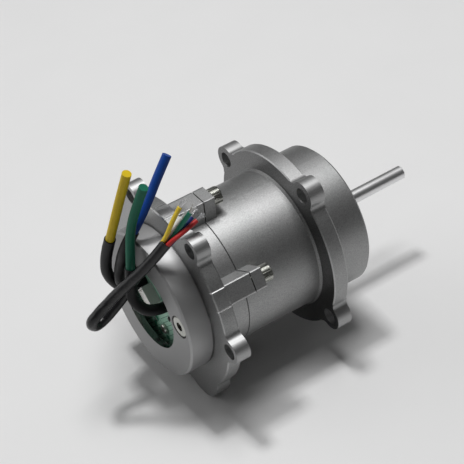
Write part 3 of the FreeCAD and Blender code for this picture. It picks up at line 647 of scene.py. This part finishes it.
def solids_of(name):
    """The corner points of each separate solid in a node."""
    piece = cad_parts[name]
    mesh = bmesh.new()
    mesh.from_mesh(piece.data)
    bmesh.ops.remove_doubles(mesh, verts=mesh.verts, dist=WELD)
    waiting = set(mesh.verts)
    solids = []
    while waiting:
        found = set()
        reached = [next(vertex for vertex in mesh.verts if vertex in waiting)]
        while reached:
            vertex = reached.pop()
            if vertex in waiting:
                waiting.remove(vertex)
                found.add(vertex)
                reached += [line.other_vert(vertex) for line in vertex.link_edges]
        solids.append([piece.matrix_world @ vertex.co for vertex in found])
    mesh.free()
    return solids


plain_screws = solids_of("housing_screws")
print("plain screws:", len(plain_screws), "with", [len(points) for points in plain_screws], "corners")

# %% [markdown]
# ## Ribbed screws
# Four screws clamp the two housings together. Their heads are ribbed, so that fingers can spin them in
# before a key tightens them in the hexagon. Cutting an array of grooves with booleans would do it, but the
# outline of such a head is one formula in polar coordinates, so it is a stack of rings: plain for the
# shank, ribbed for the head and six-sided for the key hole.

# %% Ribbed screws
RIBS = 10
RIB_DEPTH = 0.8 * MM
RIB_SPREAD = 1.5
HEAD_LENGTH = 6.0 * MM
HEAD_RADIUS = 4.9 * MM
HEAD_EDGE = 0.3 * MM
CROWN_START = 0.7 * MM
CROWN_RADIUS = HEAD_RADIUS - 0.5 * MM
CROWN_END = 0.2 * MM
CROWN_RIB = 0.4
TOP_RADIUS = HEAD_RADIUS - 0.9 * MM
SHANK_RADIUS = 3.0 * MM
SHANK_CHAMFER = 0.5 * MM
KEY_RADIUS = 2.8 * MM
KEY_DEPTH = 3.0 * MM
SCREW_STEPS = 120


def plain(radius):
    """A circle."""
    return lambda angle: radius


def ribbed(radius, depth):
    """A circle with grooves of a depth between its ribs."""
    return lambda angle: radius - depth * max(0.0, 1 - RIB_SPREAD * abs(math.cos(angle * RIBS / 2)))


def six_sided(radius):
    """A hexagon, by the radius of its corners."""
    return lambda angle: radius * math.cos(math.pi / 6) / math.cos(angle % (math.pi / 3) - math.pi / 6)


def screw_rings(points):
    """Rings of one screw, from the end of its shank to the bottom of its key hole."""
    low, high = ([pick(point[i] for point in points) for i in range(3)] for pick in (min, max))
    end, tip = low[0], high[0]
    seat = tip - HEAD_LENGTH
    outlines = [
        (end, plain(SHANK_RADIUS - SHANK_CHAMFER)),
        (end + SHANK_CHAMFER, plain(SHANK_RADIUS)),
        (seat, plain(SHANK_RADIUS)),
        (seat, ribbed(HEAD_RADIUS - HEAD_EDGE, RIB_DEPTH)),
        (seat + HEAD_EDGE, ribbed(HEAD_RADIUS, RIB_DEPTH)),
        (tip - CROWN_START, ribbed(HEAD_RADIUS, RIB_DEPTH)),
        (tip - CROWN_END, ribbed(CROWN_RADIUS, RIB_DEPTH * CROWN_RIB)),
        (tip, plain(TOP_RADIUS)),
        (tip, six_sided(KEY_RADIUS)),
        (tip - KEY_DEPTH, six_sided(KEY_RADIUS)),
    ]
    y, z = ((low[i] + high[i]) / 2 for i in (1, 2))
    side, up = Vector((0, 1, 0)), Vector((0, 0, 1))
    return [ring(Vector((x, y, z)), side, up, radius, SCREW_STEPS) for x, radius in outlines]


clamping = Shape()
for points in plain_screws:
    clamping.stack(screw_rings(points))
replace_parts(clamping.made("ribbed_screws", SCREW_STEEL, "screw_steel"), "housing_screws")
print("ribbed screws:", len(plain_screws), "with", RIBS, "ribs each")

# %% [markdown]
# ## Leads
# A lead is soft copper strand in silicone, so it bends in one smooth line. The line is a NURBS curve led by
# the same points as the solid it stands for. A Bezier curve would need handles for each point, and NURBS
# needs none. What lies round such a line, such as a sleeve, needs close points on it, how far along each
# one is and two directions square to the line there.

# %% Lines for cords
CURVE_STEPS = 16
ROUND_STEPS = 7
CURVE_ORDER = 3


def nurbs_line(name, points, radius=0.0):
    """One open NURBS curve that starts and ends on its points, in metres, with a round section."""
    data = bpy.data.curves.new(name, "CURVE")
    data.dimensions = "3D"
    data.resolution_u = CURVE_STEPS
    data.bevel_depth = radius
    data.bevel_resolution = ROUND_STEPS
    data.use_fill_caps = radius > 0
    spline = data.splines.new("NURBS")
    spline.points.add(len(points) - 1)
    for point, spot in zip(spline.points, points):
        point.co = (*spot, 1.0)
    spline.order_u = CURVE_ORDER
    spline.use_endpoint_u = True
    return placed(name, data)


def spots_on(points):
    """Close points read from the NURBS curve of a route."""
    line = nurbs_line("measure", points)
    mesh = bpy.data.meshes.new_from_object(line)
    spots = [vertex.co.copy() for vertex in mesh.vertices]
    bpy.data.objects.remove(line)
    bpy.data.meshes.remove(mesh)
    return spots


def run_lengths(spots):
    """How far along the line each point is."""
    total = [0.0]
    for before, after in zip(spots, spots[1:]):
        total.append(total[-1] + (after - before).length)
    return total


def rings_along(spots):
    """At each point a centre and two directions square to the line, turning as little as they can."""
    frames = []
    side = None
    for i, spot in enumerate(spots):
        ahead = (spots[min(i + 1, len(spots) - 1)] - spots[max(i - 1, 0)]).normalized()
        if side is None:
            side = ahead.orthogonal().normalized()
        side = (side - ahead * side.dot(ahead)).normalized()
        frames.append((spot, side, ahead.cross(side)))
    return frames


print("a line has", CURVE_STEPS, "steps between its points")

# %% [markdown]
# ## Sleeves
# A sleeve is shrunk on with hot air, so it is never quite round: it shows lumps, and its mouth turns in. A
# curve with a round section can't be lumpy, so a sleeve is a mesh of rings round the line, and noise moves
# each ring's points in and out.

# %% Sleeves
AROUND = 28
LUMP_LENGTH = 5 * MM
LUMPS_ROUND = 1.7
LIP_STEPS = ((0.35, 0.30), (1.0, 0.05))


def lumpy(radius, wrinkle, at, seed):
    """A circle with lumps, some way along a sleeve."""
    def reach(angle):
        round_it = LUMPS_ROUND * math.cos(angle), LUMPS_ROUND * math.sin(angle) + seed
        return radius + wrinkle * noise.noise(Vector((at / LUMP_LENGTH, *round_it)))
    return reach


def sleeve_rings(spots, radius, wrinkle, lip, seed):
    """Rings of a soft sleeve: lumpy, and turned in at the mouth by lip."""
    frames = rings_along(spots)
    rings = []
    for (centre, side, up), at in zip(frames, run_lengths(spots)):
        rings.append(ring(centre, side, up, lumpy(radius, wrinkle, at, seed), AROUND))
    centre, side, up = frames[-1]
    ahead = side.cross(up)
    for inward, onward in LIP_STEPS:
        rings.append(ring(centre + ahead * (lip * onward), side, up, plain(radius - lip * inward), AROUND))
    return rings


def wrapped_tube(name, rings, finish, slot):
    """One tube through rings."""
    shape = Shape()
    shape.stack(rings)
    return shape.made(name, finish, slot)


print("a sleeve has", AROUND, "points round it")

# %% [markdown]
# ## The three power leads
# Each lead carries one phase of the motor's current. It leaves the board square to it, in a black sleeve,
# and rises to its cut end. Lead and sleeve could be two curves end to end, but then a gap could show at the
# sleeve's mouth. So the lead is drawn over its whole length, and the sleeve covers its first part.

# %% Routes of the power leads
BOARD_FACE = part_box("sensor_board")[0].x


def metres(*points):
    """Points in millimetres, as vectors in metres."""
    return [Vector(point) * MM for point in points]


def lead_route(root, out, rise, straight, run):
    """All points of a lead: square off the board, up to the sleeve's mouth and on to the cut end."""
    start = Vector((BOARD_FACE, root[0] * MM, root[1] * MM))
    route = [start, start - Vector((out * MM, 0, 0))] + metres(*rise)
    mouth = route[-1]
    knee = mouth + (mouth - route[-2]).normalized() * straight * MM
    return route + [knee] + metres(*run), mouth


LEADS = {
    "yellow": lead_route(
        root=(20.0, -3.5), out=8.5,
        rise=[(-101.0, 20.4, 5.8), (-104.9, 20.1, 15.5), (-104.5, 17.3, 29.0), (-102.7, 13.0, 41.9)],
        straight=14.5, run=[(-97.3, 4.1, 72.6), (-93.9, -0.5, 89.0)]),
    "green": lead_route(
        root=(-10.8, 3.4), out=11.5,
        rise=[(-103.9, -3.6, 11.0), (-102.1, -1.9, 21.8), (-100.9, -1.9, 31.3)],
        straight=9.5, run=[(-97.4, -1.2, 54.5), (-93.8, -4.2, 69.2), (-90.0, -8.6, 83.3)]),
    "blue": lead_route(
        root=(14.6, 3.4), out=7.3,
        rise=[(-99.6, 14.2, 7.6), (-100.9, 13.0, 15.3), (-99.6, 11.4, 25.3), (-99.2, 5.0, 39.1),
              (-93.6, 3.3, 48.4)],
        straight=9.0, run=[(-81.0, 3.1, 66.0), (-74.3, 4.2, 75.2), (-67.5, 4.9, 84.0)]),
}
print("power leads start on the board at x", round(BOARD_FACE / MM, 1), "mm")

# %% [markdown]
# ## Drawing the power leads
# The curve's own round section makes the lead, so it stays a curve of one line whose length can be read. A
# mesh tube would do as well, but would need its path beside it. The sleeve stops at the point of the line
# that is nearest to its mouth.

# %% Power leads
LEAD_RADIUS = 2.5 * MM
SLEEVE_RADIUS = 3.1 * MM
SLEEVE_LUMP = 0.10 * MM
SLEEVE_LIP = 0.5 * MM
SEED_STEP = 10.0


def power_lead(colour, route, mouth):
    """One lead from the board to its cut end, and the sleeve round its first part."""
    spots = spots_on(route)
    lengths = run_lengths(spots)
    covered = min(zip(spots, lengths), key=lambda pair: (pair[0] - mouth).length)[1]
    line = nurbs_line("power_lead_" + colour, route, LEAD_RADIUS)
    lead = fitted(line, INSULATION[colour], "wire_" + colour)
    inside = [spot for spot, at in zip(spots, lengths) if at <= covered]
    rings = sleeve_rings(inside, SLEEVE_RADIUS, SLEEVE_LUMP, SLEEVE_LIP, SEED_STEP * len(colour))
    sleeve = wrapped_tube("lead_sleeve_" + colour, rings, BLACK_SLEEVE, "sleeve_black")
    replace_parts(lead, "lead_" + colour)
    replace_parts(sleeve, "sleeve_" + colour)
    print(colour, "lead:", round(lengths[-1] / MM, 1), "mm, sleeved for", round(covered / MM, 1))


for colour, (route, mouth) in LEADS.items():
    power_lead(colour, route, mouth)

# %% [markdown]
# ## The signal cord
# The thin wires of the sensors share one black sleeve that folds back over itself beside the cap. A curve
# could draw it, but a thin sleeve shows the wires inside it, so it is a mesh round a NURBS line, and a
# little lumpy.

# %% Signal cord
SIGNAL_RADIUS = 2.95 * MM
SIGNAL_LUMP = 0.16 * MM
SIGNAL_SEED = 5.0
SIGNAL_ROUTE = metres((-86.0, 3.0, 21.5), (-93.4, 3.0, 21.5), (-98.9, 4.1, 15.4), (-106.6, 4.5, 7.3),
                      (-121.6, 5.0, -3.0), (-128.6, 0.3, 6.6), (-119.2, -1.4, 14.6), (-110.2, -6.4, 25.2),
                      (-98.2, -15.2, 39.8), (-87.9, -20.5, 54.1))
signal_spots = spots_on(SIGNAL_ROUTE)
signal_rings = sleeve_rings(signal_spots, SIGNAL_RADIUS, SIGNAL_LUMP, SLEEVE_LIP, SIGNAL_SEED)
signal_cord = wrapped_tube("signal_cord", signal_rings, SIGNAL_SLEEVE, "sleeve_black")
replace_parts(signal_cord, "signal_sleeve")

# %% [markdown]
# ## Bare strands
# Each thin wire ends in a few tinned strands that splay out of its cut end. A hair system could grow them,
# but its hairs aren't meshes. A brush of thin six-sided tubes is one, with sines that make the strands
# uneven.

# %% Strands
STRANDS = 13
STRAND_RADIUS = 0.17 * MM
STRAND_SIDES = 6
STRAND_LENGTH = 5.0 * MM
STRAND_RING = 0.62 * MM
STRAND_ROOT = 0.5 * MM
SPLAY = 0.6
SPLAY_UNEVEN = 0.5
SPLAY_STEP = 3.1
TRIM = 0.88
TRIM_UNEVEN = 0.12
TRIM_STEP = 2.3
RING_MIDWAY = 1.1
RING_AT_TIP = 1.2
SPLAY_MIDWAY = 0.4
SPLAY_AT_TIP = 1.6


def strands(name, root, way):
    """A splayed brush of fine strands, one in the middle and the rest in a ring."""
    side = way.orthogonal().normalized()
    other = way.cross(side)
    brush = Shape()
    for k in range(STRANDS):
        angle = 2 * math.pi * k / (STRANDS - 1)
        out = (side * math.cos(angle) + other * math.sin(angle)) * (STRAND_RING if k else 0.0)
        splay = out * (SPLAY + SPLAY_UNEVEN * math.sin(SPLAY_STEP * k))
        reach = STRAND_LENGTH * (TRIM + TRIM_UNEVEN * math.cos(TRIM_STEP * k))
        line = [root - way * STRAND_ROOT + out,
                root + way * (STRAND_LENGTH / 2) + out * RING_MIDWAY + splay * SPLAY_MIDWAY,
                root + way * reach + out * RING_AT_TIP + splay * SPLAY_AT_TIP]
        brush.stack([ring(centre, first, second, plain(STRAND_RADIUS), STRAND_SIDES)
                     for centre, first, second in rings_along(spots_on(line))])
    return brush.made(name, TINNED, "tinned_copper")


print("strands:", STRANDS, "of", round(STRAND_LENGTH / MM, 1), "mm at each end")

# %% [markdown]
# ## Thin wires
# Five thin wires leave the sleeve side by side and spread. Straight sticks would look stiff, so each is a
# NURBS line that starts inside the sleeve, clears its rim and bows out a little on the way to its cut end.
# Each wire has an angle round the mouth and an end.

# %% Thin wires
WIRE_RADIUS = 1.25 * MM
WIRE_PITCH = 1.95 * MM
WIRE_TUCK = 4 * MM
TUCK_PITCH = WIRE_PITCH * 0.75
WIRE_CLEAR = 2.5 * MM
WIRE_BOW = 0.6 * MM
WIRES = {
    "white": (161.0, (-77.5, -20.5, 64.4)),
    "yellow": (98.0, (-78.3, -21.2, 72.4)),
    "green": (224.0, (-74.6, -24.0, 68.5)),
    "blue": (287.0, (-71.6, -20.0, 61.6)),
    "red": (-10.0, (-71.2, -24.0, 61.8)),
}
signal_mouth = SIGNAL_ROUTE[-1]
mouth_way = (SIGNAL_ROUTE[-1] - SIGNAL_ROUTE[-2]).normalized()
across = mouth_way.cross(Vector((0, 0, 1))).normalized()
upward = across.cross(mouth_way)


def thin_wire(colour, angle, end):
    """A wire from inside the sleeve's mouth to its cut end, and the strands there."""
    side = across * math.cos(math.radians(angle)) + upward * math.sin(math.radians(angle))
    begin = signal_mouth - mouth_way * WIRE_TUCK + side * TUCK_PITCH
    rim = signal_mouth + mouth_way * WIRE_CLEAR + side * WIRE_PITCH
    cut = Vector(end) * MM
    hip = rim + (cut - rim) * 0.5 + side * WIRE_BOW
    line = nurbs_line("thin_wire_" + colour, [begin, rim, hip, cut], WIRE_RADIUS)
    wire = fitted(line, THIN_INSULATION[colour], "wire_" + colour)
    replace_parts(wire, "signal_wire_" + colour)
    return [wire, strands("strands_" + colour, cut, (cut - hip).normalized())]


on_cord = [piece for colour, facts in WIRES.items() for piece in thin_wire(colour, *facts)]
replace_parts(on_cord[-1], "signal_wire_tips")
print("on the signal cord:", len(on_cord), "pieces")

# %% [markdown]
# ## Table
# The motor lies on a pale table that reaches past the picture's edges. A curved backdrop would hide a
# horizon, but the camera looks down and sees none, so a flat square is enough.

# %% Table
FLOOR_SIZE = 5.0
FLOOR_TONE = 0.72
FLOOR_DRIFT = 0.01
FLOOR_PATCH = 40 * MM
FLOOR_ROUGH = 0.5
FLOOR_GLOSS = 0.05

floor_finish = Finish("pale_table", specular_ior_level=0.3)
speckle = floor_finish.noise(FLOOR_PATCH, detail=2.0)
floor_shades = [grey(FLOOR_TONE - FLOOR_DRIFT), grey(FLOOR_TONE + FLOOR_DRIFT)]
floor_finish.feed(Base_Color=floor_finish.mix(*floor_shades, speckle),
                  Roughness=FLOOR_ROUGH + speckle.swing(FLOOR_GLOSS))
table_height = CAD_BOX[0][2]
floor_mesh = bpy.data.meshes.new("table")
floor_corners = [(a * FLOOR_SIZE / 2, b * FLOOR_SIZE / 2, table_height) for a, b in CORNERS]
floor_mesh.from_pydata(floor_corners, [], [(0, 1, 2, 3)])
floor_mesh.materials.append(floor_finish.material)
floor = placed("table", floor_mesh)
print("table at", round(table_height, 4), "m")

# %% [markdown]
# ## Lamps
# Two ceiling lamps light the motor, a small one behind it and a broad one over it. Point lamps would give
# hard shadows. An area lamp's size sets how soft its shadows' edges are, so the small one draws the leads
# on the table and the broad one fills in.

# %% Lamps
BACK_LAMP_SPOT = Vector((-0.08, 0.40, 1.75))
BACK_LAMP_SIZE = (0.22, 0.22)
BACK_LAMP_POWER = 14.6
BROAD_LAMP_SPOT = Vector((0.16, 0.10, 1.75))
BROAD_LAMP_SIZE = (0.7, 0.55)
BROAD_LAMP_POWER = 12.8


def ceiling_lamp(name, spot, size, power):
    """A flat lamp that hangs at spot, with its length along X, and shines at the motor."""
    data = bpy.data.lights.new(name, "AREA")
    data.shape = "RECTANGLE"
    data.size, data.size_y = size
    data.energy = power
    back = spot.normalized()
    wide = (Vector((1, 0, 0)) - back * back.x).normalized()
    turned = Matrix((wide, back.cross(wide), back)).transposed().to_4x4()
    placed(name, data).matrix_world = Matrix.Translation(spot) @ turned
    print(name, "of", power, "W,", round(spot.length, 2), "m away")


ceiling_lamp("back_lamp", BACK_LAMP_SPOT, BACK_LAMP_SIZE, BACK_LAMP_POWER)
ceiling_lamp("broad_lamp", BROAD_LAMP_SPOT, BROAD_LAMP_SIZE, BROAD_LAMP_POWER)

# %% [markdown]
# ## The room around
# Satin metal shows the room as soft bands. One grey would make it look flat, and a picture of a room isn't
# needed: a gradient gives dim walls and a paler ceiling, and one soft patch is a window behind the motor,
# whose light runs along the edges.

# %% Room
BRIGHT_WAY = Vector((0.0, 0.25, 0.97)).normalized()
CEILING = 0.25
WALLS = 0.05
CEILING_FADE = (0.45, 0.95)
WINDOW_WAY = Vector((-0.63, 0.63, 0.40)).normalized()
WINDOW_LIGHT = 1.1
WINDOW_FADE = (0.86, 0.95)


def room():
    """A ceiling that is brightest a little behind the motor, dim walls and one window."""
    world = bpy.data.worlds.new("room")
    world.use_nodes = True
    nodes = Nodes(world.node_tree)
    look = nodes.node("TexCoord", out="Generated")
    up, window = (nodes.node("VectorMath", {"operation": "DOT_PRODUCT"}, {0: look, 1: way}, out="Value")
                  for way in (BRIGHT_WAY, WINDOW_WAY))
    level = WALLS + up.rise(*CEILING_FADE) * (CEILING - WALLS) + window.rise(*WINDOW_FADE) * WINDOW_LIGHT
    background = nodes.tree.nodes["Background"]
    nodes.tree.links.new(nodes.join(level, level, level).socket, background.inputs["Color"])
    bpy.context.scene.world = world


room()
bpy.context.scene.view_settings.view_transform = "Standard"
print("room: walls", WALLS, "ceiling", CEILING, "window", WINDOW_LIGHT)

# %% [markdown]
# ## Board lacquer
# The board is glass fibre under a green lacquer. Its copper lies under the lacquer as paler areas, painted
# paler still as glare, cut by straight dark gaps that run one way in some areas and across it in others. A
# cell pattern would look grown, so a triangle wave along a slanted axis gives the gaps.

# %% Board lacquer
TRACE_PITCH = 2.6 * MM
TRACE_GAP = 0.2 * MM
GAP_EDGE = 0.6
COPPER_AREA = 16 * MM
BARE_AREA = 11 * MM
AREA_EDGE = (0.49, 0.50)
BARE_EDGE = (0.33, 0.36)
LACQUER_DARK = (0.020, 0.17, 0.09, 1)
# The pale copper colour is raised to a painted glare.
LACQUER_PALE_AND_GLARE = (0.36, 0.62, 0.48, 1)
LACQUER_ROUGH = 0.38
LACQUER_GLOSS = 0.1
COPPER_RELIEF = 0.04 * MM


def board_lacquer():
    """Green lacquer over copper that is cut into traces, with the copper painted pale as glare."""
    finish = Finish("board_lacquer", coat_weight=0.3, coat_roughness=0.2)
    area = finish.noise(COPPER_AREA, detail=0.0)
    bare = finish.noise(BARE_AREA, detail=1.0)
    gaps = []
    for way in (finish.y + finish.z, finish.y - finish.z):
        wave = finish.node("Math", {"operation": "PINGPONG"}, {0: way * math.sqrt(0.5), 1: TRACE_PITCH / 2})
        gaps.append(1 - wave.rise(TRACE_GAP * GAP_EDGE, TRACE_GAP))
    share = area.rise(*AREA_EDGE)
    copper = (1 - gaps[0] * share - gaps[1] * (1 - share)) * bare.rise(*BARE_EDGE)
    finish.feed(Base_Color=finish.mix(LACQUER_DARK, LACQUER_PALE_AND_GLARE, copper),
                Roughness=LACQUER_ROUGH + bare.swing(LACQUER_GLOSS))
    finish.bump(copper, COPPER_RELIEF, METAL_BUMP)
    return finish


LACQUER = board_lacquer()
dress(LACQUER, "sensor_board")

# %% [markdown]
# ## Board
# The board fills the cap between its posts, and its solid is a smaller disc. It could be drawn anew with
# all its holes, but a copy of the solid's mesh already has them, so the copy's rim is moved out and the
# copy stands for the solid.

# %% Wide board
BOARD_REACH = 36.8 * MM
RIM_BAND = 0.05 * MM

board_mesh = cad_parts["sensor_board"].data.copy()
board_mesh.materials.clear()
radii = [math.hypot(vertex.co.y, vertex.co.z) for vertex in board_mesh.vertices]
for vertex, radius in zip(board_mesh.vertices, radii):
    if radius > max(radii) - RIM_BAND:
        vertex.co.yz *= BOARD_REACH / radius
board = fitted(placed("wide_board", board_mesh), LACQUER, "board_green")
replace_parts(board, "sensor_board")
print("board: rim moved from", round(max(radii) / MM, 1), "to", round(BOARD_REACH / MM, 1), "mm")

# %% [markdown]
# ## Parts on the board
# Small moulded chips with a tinned pad at each end read the sensors and pass their signals on, and a few
# pads stay bare. An Array modifier would set them in rows, but on such a board each has a place and a turn
# of its own. So each is named by its kind, with its place in millimetres and its turn in degrees.

# %% Chips and pads
CHIP_SIZES = {"driver": (5.0, 4.0), "regulator": (4.0, 3.0), "resistor": (3.2, 1.6), "capacitor": (2.0, 1.2)}
CHIPS = [("driver", 4.0, 11.5, 20), ("resistor", -4.5, 6.5, 65), ("resistor", -8.5, -9.0, 10),
         ("resistor", 10.5, -16.0, 40), ("capacitor", 2.0, -12.0, 100), ("capacitor", 5.0, -14.5, 100),
         ("regulator", -18.0, -3.0, 15), ("capacitor", 15.5, -9.5, 30)]
PAD_SIZES = {"large": (3.2, 2.2), "wide": (2.4, 1.6), "small": (2.2, 1.4), "short": (1.8, 1.4)}
PADS = [("large", 8.5, -21.5, 25), ("small", -1.0, -6.5, 40), ("short", -6.0, 1.0, 40),
        ("wide", -12.5, -13.0, 0)]
CHIP_BODY = 0.7
CHIP_HEIGHT = 1.0 * MM
END_AT = 0.42
END_LENGTH = 0.2
END_WIDTH = 0.9
END_HEIGHT = 0.7 * MM
PAD_HEIGHT = 0.15 * MM
OUT = Vector((-1, 0, 0))


def on_board(y, z, degrees):
    """A place on the board and two directions along it."""
    turn = math.radians(degrees)
    return (Vector((BOARD_FACE, y * MM, z * MM)), Vector((0, math.cos(turn), math.sin(turn))),
            Vector((0, -math.sin(turn), math.cos(turn))))


chips, solder = Shape(), Shape()
for kind, y, z, degrees in CHIPS:
    place, side, up = on_board(y, z, degrees)
    length, width = (part * MM for part in CHIP_SIZES[kind])
    chips.block(place, side, up, OUT, length * CHIP_BODY, width, CHIP_HEIGHT)
    for end in (-1, 1):
        root = place + side * (end * length * END_AT)
        solder.block(root, side, up, OUT, length * END_LENGTH, width * END_WIDTH, END_HEIGHT)
for kind, y, z, degrees in PADS:
    place, side, up = on_board(y, z, degrees)
    length, width = (part * MM for part in PAD_SIZES[kind])
    solder.block(place, side, up, OUT, length, width, PAD_HEIGHT)
chips.made("board_chips", MOULDED_EPOXY, "chip_black")
solder.made("board_solder", TINNED, "tinned_copper")
print("on the board:", len(CHIPS), "chips and", len(PADS), "bare pads")

# %% [markdown]
# ## Inside the connector
# The white connector is a shell with a block of contacts in its well and a row of tinned pins. The shell is
# a solid. Block and pins could be cut from it with booleans, but they are plain blocks that stand in the
# middle of the shell, which is measured.

# %% Connector contacts
PLUG_TURN = 40.5
WELL_FLOOR = 1.2 * MM
PIN_COUNT = 5
PIN_PITCH = 1.9 * MM
PIN_WIDTH = 0.6 * MM
PIN_LENGTH = 4.9 * MM
CONTACT_BLOCK = (9.3 * MM, 4.5 * MM, 4.7 * MM)
CONTACT_SLOPE = 0.03

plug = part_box("signal_connector")
plug_centre = (Vector(plug[0]) + Vector(plug[1])) / 2
place, side, up = on_board(plug_centre.y / MM, plug_centre.z / MM, PLUG_TURN)
well = place + OUT * WELL_FLOOR
pins = Shape()
for k in range(PIN_COUNT):
    root = well + side * ((k - (PIN_COUNT - 1) / 2) * PIN_PITCH)
    pins.block(root, side, up, OUT, PIN_WIDTH, PIN_WIDTH, PIN_LENGTH)
pins.made("connector_pins", TINNED, "tinned_copper")
contacts = Shape()
contacts.block(well, side, up, OUT, *CONTACT_BLOCK, CONTACT_SLOPE)
contacts.made("contact_block", WHITE_NYLON, "connector_white")
print("connector:", PIN_COUNT, "pins")
